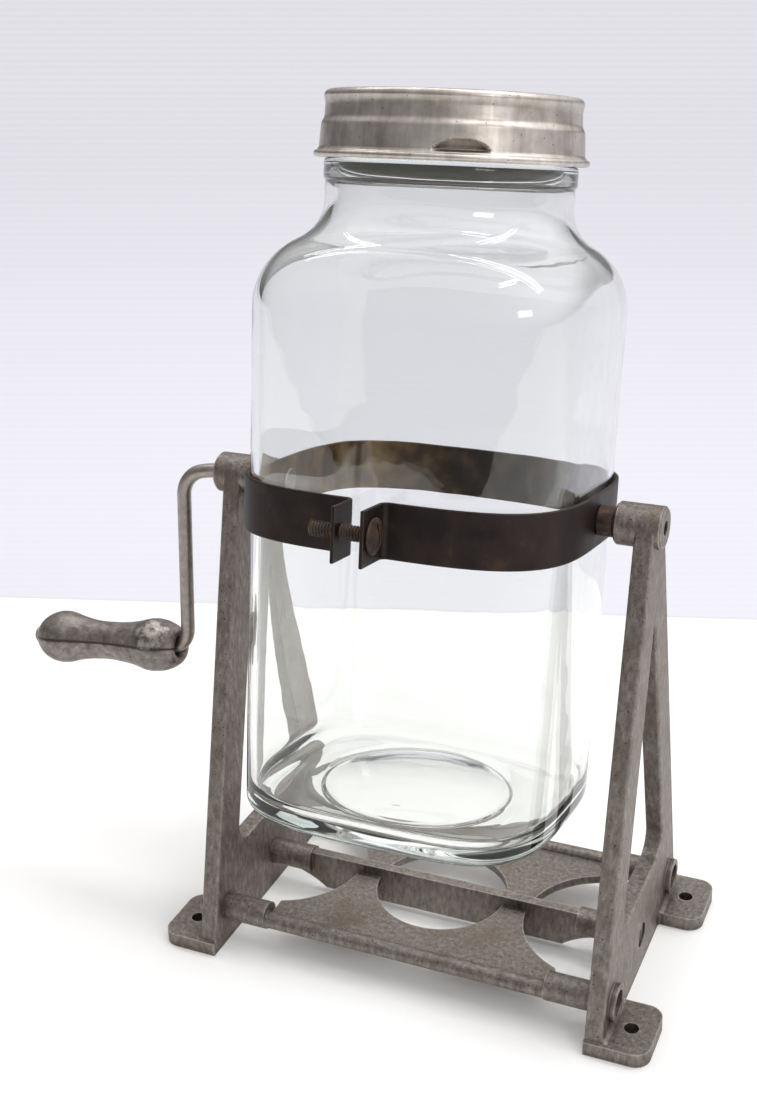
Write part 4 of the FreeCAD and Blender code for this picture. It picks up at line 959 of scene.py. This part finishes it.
def spun_aluminium(name, clean, stain):
    """Spun aluminium sheet, aged: soft warm grey with streaks from handling and dark specks; edges
    lighter, partly from wear and partly as a painted highlight; painted shade in the corners and on
    the faces inside."""
    material, tree = new_material(name)
    place = jar_place(tree)
    upright = add_node(tree, "ShaderNodeMapping", values={"Scale": (1.0, 1.0, 0.07)},
                       links={"Vector": place})
    streak = add_node(tree, "ShaderNodeTexNoise", values={"Scale": per_mm(2.2), "Detail": 5.0},
                      links={"Vector": upright})
    # The rings that spinning leaves, drawn coarser than they are so that they show
    level = add_node(tree, "ShaderNodeMapping", values={"Scale": (0.05, 0.05, 1.0)},
                     links={"Vector": place})
    rings = add_node(tree, "ShaderNodeTexNoise", values={"Scale": per_mm(0.5), "Detail": 3.0},
                     links={"Vector": level})
    cloud = add_node(tree, "ShaderNodeTexNoise", values={"Scale": per_mm(11), "Detail": 10.0,
                                                         "Roughness": 0.66},
                     links={"Vector": place})
    both = add_node(tree, "ShaderNodeMath", {"operation": "MULTIPLY_ADD"}, {1: 0.45},
                    {0: streak, 2: cloud})
    tone = add_node(tree, "ShaderNodeMapRange", values={"From Min": 0.52, "From Max": 0.95},
                    links={"Value": both})
    shade = mixed(tree, tone, stain, clean)
    speck = add_node(tree, "ShaderNodeTexVoronoi", values={"Scale": per_mm(3.4)},
                     links={"Vector": place})
    spots = add_node(tree, "ShaderNodeMapRange", values={"From Min": 0.10, "From Max": 0.05},
                     links={"Value": speck})
    shade = mixed(tree, spots, shade, "#4F4741")
    # Edges lightened toward the clean metal: partly wear, partly a painted highlight
    shade = mixed(tree, edge_wear_and_highlight(tree, 0.7), shade, clean)
    # Hemmed-in corners darkened: painted shade
    shade = mixed(tree, painted_corner_shade(tree, 2.6), shade, "#5A4E45")
    # Faces inside the lid darkened: painted shade
    shade = mixed(tree, inner_side(tree, place), shade, "#5C5B52")
    rough = add_node(tree, "ShaderNodeMapRange", values={"To Min": 0.28, "To Max": 0.46},
                     links={"Value": cloud})
    bump = add_node(tree, "ShaderNodeBump", values={"Strength": 0.10, "Distance": 0.0003},
                    links={"Height": rings})
    metal = add_node(tree, "ShaderNodeBsdfPrincipled", values={"Metallic": 1.0},
                     links={"Base Color": shade, "Roughness": rough, "Normal": bump})
    add_node(tree, "ShaderNodeOutputMaterial", links={"Surface": metal})
    return material


def sand_cast_aluminium():
    """Sand-cast aluminium, never polished: grey-brown and mottled, with the grain of the sand,
    small pits, edges lighter, partly from wear and partly as a painted highlight, and brown painted
    shade in the corners."""
    material, tree = new_material("sand_cast_aluminium")
    place = add_node(tree, "ShaderNodeTexCoord")
    upright = add_node(tree, "ShaderNodeMapping", values={"Scale": (1.0, 1.0, 0.35)},
                       links={"Vector": place.outputs["Object"]})
    mottle = add_node(tree, "ShaderNodeTexNoise", values={"Scale": per_mm(2.0), "Detail": 9.0,
                                                          "Roughness": 0.66},
                      links={"Vector": upright})
    tone = ramp_stops(add_node(tree, "ShaderNodeValToRGB", links={"Fac": mottle}),
                      [(0.28, "#615953"), (0.48, "#827A74"), (0.62, "#968E88"),
                       (0.76, "#B4ADA7")])
    stain = add_node(tree, "ShaderNodeTexNoise", values={"Scale": per_mm(24), "Detail": 5.0},
                     links={"Vector": place.outputs["Object"]})
    brown = add_node(tree, "ShaderNodeMapRange",
                     values={"From Min": 0.52, "From Max": 0.70, "To Max": 0.6},
                     links={"Value": stain})
    shade = mixed(tree, brown, tone, "#6B5B4D")
    # The grain of the sand, drawn coarser than it is so that it shows
    grit = add_node(tree, "ShaderNodeTexNoise", values={"Scale": per_mm(0.8), "Detail": 3.0},
                    links={"Vector": place.outputs["Object"]})
    grain = add_node(tree, "ShaderNodeMapRange",
                     values={"From Min": 0.42, "From Max": 0.30, "To Max": 0.5},
                     links={"Value": grit})
    shade = mixed(tree, grain, shade, "#4D4540")
    pit = add_node(tree, "ShaderNodeTexVoronoi", values={"Scale": per_mm(3.0)},
                   links={"Vector": place.outputs["Object"]})
    pits = add_node(tree, "ShaderNodeMapRange", values={"From Min": 0.15, "From Max": 0.07},
                    links={"Value": pit})
    shade = mixed(tree, pits, shade, "#3B332E")
    # Hemmed-in corners darkened brown: painted shade
    shade = mixed(tree, painted_corner_shade(tree, 7.0), shade, "#43372F")
    # Edges lightened where the mottle is high: partly wear, partly a painted highlight
    edge = edge_wear_and_highlight(tree, 1.0, 0.93)
    wear_and_highlight = add_node(tree, "ShaderNodeMath", {"operation": "MULTIPLY", "use_clamp": True},
                    {1: 1.3}, {0: mottle})
    wear_and_highlight = add_node(tree, "ShaderNodeMath", {"operation": "MULTIPLY"}, links={0: edge, 1: wear_and_highlight})
    shade = mixed(tree, wear_and_highlight, shade, "#C6BFB8")
    rough = add_node(tree, "ShaderNodeMapRange", values={"To Min": 0.40, "To Max": 0.66},
                     links={"Value": mottle})
    height = add_node(tree, "ShaderNodeMath", {"operation": "SUBTRACT"}, links={0: grit, 1: pits})
    bump = add_node(tree, "ShaderNodeBump", values={"Strength": 0.55, "Distance": 0.0003},
                    links={"Height": height})
    metal = add_node(tree, "ShaderNodeBsdfPrincipled", values={"Metallic": 1.0},
                     links={"Base Color": shade, "Roughness": rough, "Normal": bump})
    add_node(tree, "ShaderNodeOutputMaterial", links={"Surface": metal})
    return material


def cast_grip_metal():
    """Cast aluminium handled for years: dull brown-grey, its high places rubbed lighter, with fine
    scratches and painted shade in the hollows."""
    material, tree = new_material("handled_cast_aluminium")
    place = add_node(tree, "ShaderNodeTexCoord")
    outward = GRIP_OUTWARD.to_track_quat("Z", "Y").to_euler()
    along = add_node(tree, "ShaderNodeMapping", {"vector_type": "TEXTURE"},
                     {"Location": GRIP_CORNER, "Rotation": outward},
                     {"Vector": place.outputs["Object"]})
    parts = add_node(tree, "ShaderNodeSeparateXYZ", links={"Vector": along})
    mottle = add_node(tree, "ShaderNodeTexNoise", values={"Scale": per_mm(4), "Detail": 9.0,
                                                          "Roughness": 0.65},
                      links={"Vector": place.outputs["Object"]})
    tone = ramp_stops(add_node(tree, "ShaderNodeValToRGB", links={"Fac": mottle}),
                      [(0.30, "#67605B"), (0.54, "#8E8681"), (0.74, "#AAA39D")])
    # Scratches along the grip, drawn coarser than they are so that they show
    length_way = add_node(tree, "ShaderNodeMapping", values={"Scale": (0.06, 1.0, 1.0)},
                          links={"Vector": place.outputs["Object"]})
    scratch = add_node(tree, "ShaderNodeTexNoise", values={"Scale": per_mm(0.7), "Detail": 2.0},
                       links={"Vector": length_way})
    bright = add_node(tree, "ShaderNodeMapRange",
                      values={"From Min": 0.63, "From Max": 0.72, "To Max": 0.6},
                      links={"Value": scratch})
    shade = mixed(tree, bright, tone, "#B5AEA8")
    wander = add_node(tree, "ShaderNodeMath", {"operation": "MULTIPLY_ADD"},
                      {1: 0.10, 2: GRIP_SEAM - 0.06}, {0: mottle})
    turn = add_node(tree, "ShaderNodeMath", {"operation": "ARCTAN2"},
                    links={0: parts.outputs["Y"], 1: parts.outputs["X"]})
    away = add_node(tree, "ShaderNodeMath", {"operation": "SUBTRACT"}, links={0: turn, 1: wander})
    swing = add_node(tree, "ShaderNodeMath", {"operation": "SINE"}, links={0: away})
    near = add_node(tree, "ShaderNodeMath", {"operation": "ABSOLUTE"}, links={0: swing})
    seam = add_node(tree, "ShaderNodeMapRange",
                    values={"From Min": 0.09, "From Max": 0.03, "To Max": 0.85},
                    links={"Value": near})
    shade = mixed(tree, seam, shade, "#3B322D")
    # A patch at the inner bulb where the skin has come off and bright metal shows
    ball = add_node(tree, "ShaderNodeVectorMath", {"operation": "DISTANCE"},
                    {1: (0.007, 0.010, 0.0150)}, {0: along})
    ragged = add_node(tree, "ShaderNodeMath", {"operation": "MULTIPLY_ADD"}, {1: -0.009},
                      {0: mottle, 2: ball.outputs["Value"]})
    scab = add_node(tree, "ShaderNodeMapRange",
                    values={"From Min": 0.0048, "From Max": 0.0020, "To Max": 0.8},
                    links={"Value": ragged})
    rim = add_node(tree, "ShaderNodeMapRange",
                   values={"From Min": 0.0056, "From Max": 0.0045, "To Max": 0.4},
                   links={"Value": ragged})
    shade = mixed(tree, rim, shade, "#4A403A")
    broken = add_node(tree, "ShaderNodeMapRange", values={"From Min": 0.40, "From Max": 0.62},
                      links={"Value": mottle})
    bared = add_node(tree, "ShaderNodeMath", {"operation": "MULTIPLY"}, links={0: scab, 1: broken})
    shade = mixed(tree, bared, shade, "#CFC8C1")
    # Hollows darkened: painted shade
    shade = mixed(tree, painted_corner_shade(tree, 2.5), shade, "#3A312C")
    relief = add_node(tree, "ShaderNodeMath", {"operation": "SUBTRACT"}, links={0: mottle, 1: seam})
    bump = add_node(tree, "ShaderNodeBump", values={"Strength": 0.5, "Distance": 0.0003},
                    links={"Height": relief})
    metal = add_node(tree, "ShaderNodeBsdfPrincipled", values={"Metallic": 1.0, "Roughness": 0.5},
                     links={"Base Color": shade, "Normal": bump})
    add_node(tree, "ShaderNodeOutputMaterial", links={"Surface": metal})
    return material


def browned_steel():
    """Strip steel browned by age: near black outside, with rust and olive stains on the side that
    lies against the glass, and edges a little lighter, partly from rubbing and partly as a painted
    highlight."""
    material, tree = new_material("browned_strip_steel")
    place = jar_place(tree)
    long = add_node(tree, "ShaderNodeMapping", values={"Scale": (1.0, 1.0, 0.8)},
                    links={"Vector": place})
    patch = add_node(tree, "ShaderNodeTexNoise", values={"Scale": per_mm(9), "Detail": 8.0},
                     links={"Vector": long})
    outside = ramp_stops(add_node(tree, "ShaderNodeValToRGB", links={"Fac": patch}),
                         [(0.35, "#272120"), (0.60, "#342A28"), (0.78, "#4E3A2D")])
    inside = ramp_stops(add_node(tree, "ShaderNodeValToRGB", links={"Fac": patch}),
                        [(0.34, "#2B2220"), (0.50, "#3C2E27"), (0.66, "#5B4433"),
                         (0.80, "#6E5B42")])
    rust = ramp_stops(add_node(tree, "ShaderNodeValToRGB", links={"Fac": patch}),
                      [(0.36, "#55412F"), (0.52, "#7C5F40"), (0.68, "#8B7A58")])
    sides = add_node(tree, "ShaderNodeSeparateXYZ", links={"Vector": place})
    left = add_node(tree, "ShaderNodeMapRange",
                    values={"From Min": -0.012, "From Max": -0.050, "To Max": 0.85},
                    links={"Value": sides.outputs["X"]})
    stained = mixed(tree, left, inside, rust)
    shade = mixed(tree, inner_side(tree, place), outside, stained)
    # Edges lightened: partly wear, partly a painted highlight
    shade = mixed(tree, edge_wear_and_highlight(tree, 0.5, most=0.5), shade, "#8A7C70")
    # The tooth of the rust, drawn coarser than it is so that it shows
    grit = add_node(tree, "ShaderNodeTexNoise", values={"Scale": per_mm(0.9), "Detail": 3.0},
                    links={"Vector": place})
    bump = add_node(tree, "ShaderNodeBump", values={"Strength": 0.35, "Distance": 0.0002},
                    links={"Height": grit})
    rough = add_node(tree, "ShaderNodeMapRange", values={"To Min": 0.40, "To Max": 0.62},
                     links={"Value": patch})
    metal = add_node(tree, "ShaderNodeBsdfPrincipled", values={"Metallic": 0.75},
                     links={"Base Color": shade, "Roughness": rough, "Normal": bump})
    add_node(tree, "ShaderNodeOutputMaterial", links={"Surface": metal})
    return material


def rusty(name, size, stops, metallic, roughness):
    """Bare steel under rust: blotches of this many millimetres from dark scale to orange."""
    material, tree = new_material(name)
    place = add_node(tree, "ShaderNodeTexCoord")
    blotch = add_node(tree, "ShaderNodeTexNoise", values={"Scale": per_mm(size), "Detail": 8.0,
                                                          "Roughness": 0.62},
                      links={"Vector": place.outputs["Object"]})
    tone = ramp_stops(add_node(tree, "ShaderNodeValToRGB", links={"Fac": blotch}), stops)
    # Edges lightened: partly wear, partly a painted highlight
    shade = mixed(tree, edge_wear_and_highlight(tree, 0.4, most=0.5), tone, "#9B9087")
    bump = add_node(tree, "ShaderNodeBump", values={"Strength": 0.4, "Distance": 0.0002},
                    links={"Height": blotch})
    metal = add_node(tree, "ShaderNodeBsdfPrincipled",
                     values={"Metallic": metallic, "Roughness": roughness},
                     links={"Base Color": shade, "Normal": bump})
    add_node(tree, "ShaderNodeOutputMaterial", links={"Surface": metal})
    return material


def rusted_screw():
    """The clamp screw, steel with a brown skin and bright orange rust in places."""
    return rusty("rusted_screw_steel", 3.0, [(0.35, "#2F2624"), (0.55, "#4B3A31"),
                                             (0.66, "#6E4C33"), (0.80, "#A0672F")], 0.6, 0.6)


def rusted_collar():
    """The collars, steel with an even brown rust."""
    return rusty("rusted_collar_steel", 2.5, [(0.30, "#3A2C27"), (0.55, "#54423A"),
                                              (0.75, "#7C6152")], 0.6, 0.6)


def drawn_rod():
    """Drawn steel rod, smooth and dulled to a light grey-brown with a few dark specks."""
    return rusty("drawn_rod_steel", 3.5, [(0.22, "#5A504A"), (0.36, "#958C86"),
                                          (0.60, "#A69E98"), (0.80, "#BBB4AE")], 1.0, 0.42)


def dulled_screws():
    """The tie screws, steel gone dark brown-grey in their bosses."""
    return rusty("dulled_screw_steel", 2.0, [(0.30, "#453C37"), (0.55, "#6A5F58"),
                                             (0.75, "#8D837B")], 0.9, 0.5)


def jar_rubber():
    """Moulded jar rubber, dull red-brown and a little dusty."""
    material, tree = new_material("moulded_jar_rubber")
    place = add_node(tree, "ShaderNodeTexCoord")
    dust = add_node(tree, "ShaderNodeTexNoise", values={"Scale": per_mm(2), "Detail": 6.0},
                    links={"Vector": place.outputs["Object"]})
    tone = ramp_stops(add_node(tree, "ShaderNodeValToRGB", links={"Fac": dust}),
                      [(0.35, "#6E4638"), (0.70, "#8A6455")])
    bump = add_node(tree, "ShaderNodeBump", values={"Strength": 0.2, "Distance": 0.0002},
                    links={"Height": dust})
    rubber = add_node(tree, "ShaderNodeBsdfPrincipled", values={"Roughness": 0.75},
                      links={"Base Color": tone, "Normal": bump})
    add_node(tree, "ShaderNodeOutputMaterial", links={"Surface": rubber})
    return material


def waxed_board():
    """Pressed pulp board soaked in wax: brown-grey fibres with a soft shine, its colour kept dark
    as painted shade inside the lid.
    """
    material, tree = new_material("waxed_pulp_board")
    place = add_node(tree, "ShaderNodeTexCoord")
    fibre_way = add_node(tree, "ShaderNodeMapping", values={"Scale": (0.25, 1.0, 1.0)},
                         links={"Vector": place.outputs["Object"]})
    fibre = add_node(tree, "ShaderNodeTexNoise", values={"Scale": per_mm(1.5), "Detail": 6.0},
                     links={"Vector": fibre_way})
    tone = ramp_stops(add_node(tree, "ShaderNodeValToRGB", links={"Fac": fibre}),
                      [(0.35, "#6E6452"), (0.65, "#94886F")])
    bump = add_node(tree, "ShaderNodeBump", values={"Strength": 0.15, "Distance": 0.0002},
                    links={"Height": fibre})
    board = add_node(tree, "ShaderNodeBsdfPrincipled", values={"Roughness": 0.45},
                     links={"Base Color": tone, "Normal": bump})
    add_node(tree, "ShaderNodeOutputMaterial", links={"Surface": board})
    return material


def finish_nodes(names, material):
    """Gives solids that keep their own shape a material."""
    for name in names:
        solid = frame["nodes"][name]
        solid.data.materials.clear()
        solid.data.materials.append(material)


class CHURN_OT_castings(bpy.types.Operator):
    """Finishes the side frames and the base casting"""
    bl_idname = "churn.castings"
    bl_label = "Castings"

    def execute(self, context):
        finish_nodes(["left_side_frame", "right_side_frame", "base_casting"],
                     sand_cast_aluminium())
        return {"FINISHED"}


class CHURN_OT_fittings(bpy.types.Operator):
    """Finishes the tie screws, the sealing ring and the liner of the lid"""
    bl_idname = "churn.fittings"
    bl_label = "Screws, ring and liner"

    def execute(self, context):
        finish_nodes(["front_tie_screws", "middle_tie_screws", "rear_tie_screws"],
                     dulled_screws())
        finish_nodes(["sealing_ring"], jar_rubber())
        finish_nodes(["lid_liner"], waxed_board())
        return {"FINISHED"}


def table_and_cloth(colours):
    """A smooth white laminate table and, behind its far edge, a pale ribbed cloth.  Both glow
    a little to the eye alone, which lights nothing and keeps them near white."""
    material, tree = new_material("laminate_table_and_cloth")
    place = add_node(tree, "ShaderNodeTexCoord")
    parts = add_node(tree, "ShaderNodeSeparateXYZ", links={"Vector": place.outputs["Object"]})
    edge_skew, edge_at = 0.283, 0.342
    skew = add_node(tree, "ShaderNodeMath", {"operation": "MULTIPLY"}, {1: edge_skew},
                    {0: parts.outputs["X"]})
    back = add_node(tree, "ShaderNodeMath", {"operation": "SUBTRACT"},
                    links={0: parts.outputs["Y"], 1: skew})
    beyond = add_node(tree, "ShaderNodeMapRange",
                      values={"From Min": edge_at - 0.0015, "From Max": edge_at + 0.0015},
                      links={"Value": back})
    depth = add_node(tree, "ShaderNodeMapRange", values={"From Min": edge_at, "From Max": 3.4},
                     links={"Value": back})
    cloth = mixed(tree, depth, colours.cloth_near, colours.cloth_far)
    # Fine ribs across the cloth, evenly spaced as the camera sees them
    start = add_node(tree, "ShaderNodeVectorMath", {"operation": "SUBTRACT"}, {1: CAMERA_PLACE},
                     {0: place.outputs["Object"]})
    rise = add_node(tree, "ShaderNodeVectorMath", {"operation": "DOT_PRODUCT"},
                    {1: CAMERA_RIGHT.cross(CAMERA_AHEAD)}, {0: start})
    away = add_node(tree, "ShaderNodeVectorMath", {"operation": "DOT_PRODUCT"},
                    {1: CAMERA_AHEAD}, {0: start})
    ribs = add_node(tree, "ShaderNodeMath", {"operation": "DIVIDE"},
                    links={0: rise.outputs["Value"], 1: away.outputs["Value"]})
    rib_pace = 1500.0
    ribs = add_node(tree, "ShaderNodeMath", {"operation": "MULTIPLY"}, {1: rib_pace}, {0: ribs})
    ribs = add_node(tree, "ShaderNodeMath", {"operation": "SINE"}, links={0: ribs})
    ribs = add_node(tree, "ShaderNodeMapRange",
                    values={"From Min": -1.0, "From Max": 1.0, "To Max": 0.09},
                    links={"Value": ribs})
    cloth = mixed(tree, ribs, cloth, "#C9C8D2")
    # A thin grey line just beyond the table's far edge: painted shade
    rim = add_node(tree, "ShaderNodeMath", {"operation": "COMPARE"},
                   {1: edge_at + 0.0017, 2: 0.0012}, {0: back})
    cloth = mixed(tree, rim, cloth, "#D2D1D6")
    shade = mixed(tree, beyond, colours.table, cloth)
    matt = add_node(tree, "ShaderNodeBsdfDiffuse", links={"Color": shade})
    glow = add_node(tree, "ShaderNodeEmission", values={"Strength": 0.10}, links={"Color": shade})
    path = add_node(tree, "ShaderNodeLightPath")
    seen = path.outputs["Is Camera Ray"]
    for other in ("Is Glossy Ray", "Is Transmission Ray"):
        seen = add_node(tree, "ShaderNodeMath", {"operation": "MAXIMUM"},
                        links={0: seen, 1: path.outputs[other]})
    dark = add_node(tree, "ShaderNodeEmission", values={"Strength": 0.0})
    lift = add_node(tree, "ShaderNodeMixShader", links={0: seen, 1: dark, 2: glow})
    both = add_node(tree, "ShaderNodeAddShader", links={0: matt, 1: lift})
    add_node(tree, "ShaderNodeOutputMaterial", links={"Surface": both})
    return material


def room_light(scene):
    """A pale room, brighter above, to the right and behind the churn than behind the camera."""
    world = bpy.data.worlds.new("studio_room")
    scene.world = world
    world.use_nodes = True
    tree = world.node_tree
    tree.nodes.clear()
    place = add_node(tree, "ShaderNodeTexCoord")
    parts = add_node(tree, "ShaderNodeSeparateXYZ", links={"Vector": place.outputs["Generated"]})
    level = add_node(tree, "ShaderNodeValToRGB", links={"Fac": parts.outputs["Z"]})
    ramp_stops(level, [(0.0, "#616161"), (0.10, "#9E9E9E"), (0.30, "#E1E1E1"), (0.65, "#FFFFFF")])
    for axis, start, end, low, high in (("Y", -0.8, 0.2, 0.45, 1.0), ("X", -1.0, 1.0, 0.5, 1.75)):
        share = add_node(tree, "ShaderNodeMapRange",
                         values={"From Min": start, "From Max": end, "To Min": low,
                                 "To Max": high},
                         links={"Value": parts.outputs[axis]})
        level = add_node(tree, "ShaderNodeMath", {"operation": "MULTIPLY"},
                         links={0: level, 1: share})
    room = add_node(tree, "ShaderNodeBackground", values={"Color": linear("#FFFFFF")},
                    links={"Strength": level})
    add_node(tree, "ShaderNodeOutputWorld", links={"Surface": room})


def hang_lamps(scene):
    """Two thin ceiling tubes, a small ceiling lamp and a soft lamp at the front right."""
    middle = Vector((0, 0, 0.15))
    for name, spot, across, along, power in (
            ("near_tube", (0.0, 0.30, 1.5), 2.6, 0.03, 4.5),
            ("far_tube", (0.0, 0.42, 1.5), 2.6, 0.03, 4.5),
            ("ceiling_lamp", (0.45, -0.15, 1.4), 0.5, 0.04, 1.2),
            ("front_lamp", (1.2, -0.8, 0.9), 0.5, 0.25, 2.2)):
        light = bpy.data.lights.new(name, "AREA")
        light.shape = "RECTANGLE"
        light.size = across
        light.size_y = along
        light.energy = power
        lamp = bpy.data.objects.new(name, light)
        lamp.location = spot
        lamp.rotation_euler = (middle - lamp.location).to_track_quat("-Z", "Y").to_euler()
        scene.collection.objects.link(lamp)


def set_camera(scene):
    """Puts the camera where the photograph was taken from."""
    data = bpy.data.cameras.new("camera")
    camera = bpy.data.objects.new("camera", data)
    scene.collection.objects.link(camera)
    ahead = CAMERA_AHEAD.normalized()
    upward = CAMERA_RIGHT.cross(ahead).normalized()
    turn = Matrix((ahead.cross(upward), upward, -ahead)).transposed().to_4x4()
    camera.matrix_world = Matrix.Translation(CAMERA_PLACE) @ turn
    data.sensor_width = 36.0
    data.lens = data.sensor_width * FOCAL_SHARE
    data.clip_start = 0.01
    scene.camera = camera


class CHURN_OT_stage(bpy.types.Operator):
    """Sets the table, the light and the camera"""
    bl_idname = "churn.stage"
    bl_label = "Stage"

    def execute(self, context):
        scene = context.scene
        scene.view_settings.view_transform = "Standard"
        half = 6.0
        corners = [(-half, -half, 0), (half, -half, 0), (half, half, 0), (-half, half, 0)]
        table = make_piece("table", corners, [(0, 1, 2, 3)],
                           [table_and_cloth(scene.churn_stage)])
        room_light(scene)
        hang_lamps(scene)
        set_camera(scene)
        return {"FINISHED"}


class CHURN_PT_panel(bpy.types.Panel):
    """Lists the steps that build the churn"""
    bl_label = "Butter churn"
    bl_idname = "CHURN_PT_panel"
    bl_space_type = "VIEW_3D"
    bl_region_type = "UI"
    bl_category = "Churn"

    def draw(self, context):
        for step in STEPS:
            self.layout.operator(step.bl_idname)


STEPS = (CHURN_OT_jar, CHURN_OT_lid, CHURN_OT_band, CHURN_OT_clamp_screw, CHURN_OT_collars,
         CHURN_OT_rods, CHURN_OT_grip, CHURN_OT_castings, CHURN_OT_fittings, CHURN_OT_stage)
GROUPS = {"churn_jar": ChurnJar, "churn_lid": ChurnLid, "churn_band": ChurnBand,
          "churn_crank": ChurnCrank, "churn_stage": ChurnStage}


def register():
    """Makes the sizes, the steps and the panel known to Blender."""
    for name, group in GROUPS.items():
        bpy.utils.register_class(group)
        setattr(bpy.types.Scene, name, bpy.props.PointerProperty(type=group))
    for step in STEPS:
        bpy.utils.register_class(step)
    bpy.utils.register_class(CHURN_PT_panel)


def unregister():
    """Takes them out again."""
    bpy.utils.unregister_class(CHURN_PT_panel)
    for step in reversed(STEPS):
        bpy.utils.unregister_class(step)
    for name, group in reversed(GROUPS.items()):
        delattr(bpy.types.Scene, name)
        bpy.utils.unregister_class(group)


def main():
    """Builds every piece in order."""
    register()
    for step in STEPS:
        group, name = step.bl_idname.split(".")
        getattr(getattr(bpy.ops, group), name)()


if __name__ == "__main__":
    main()
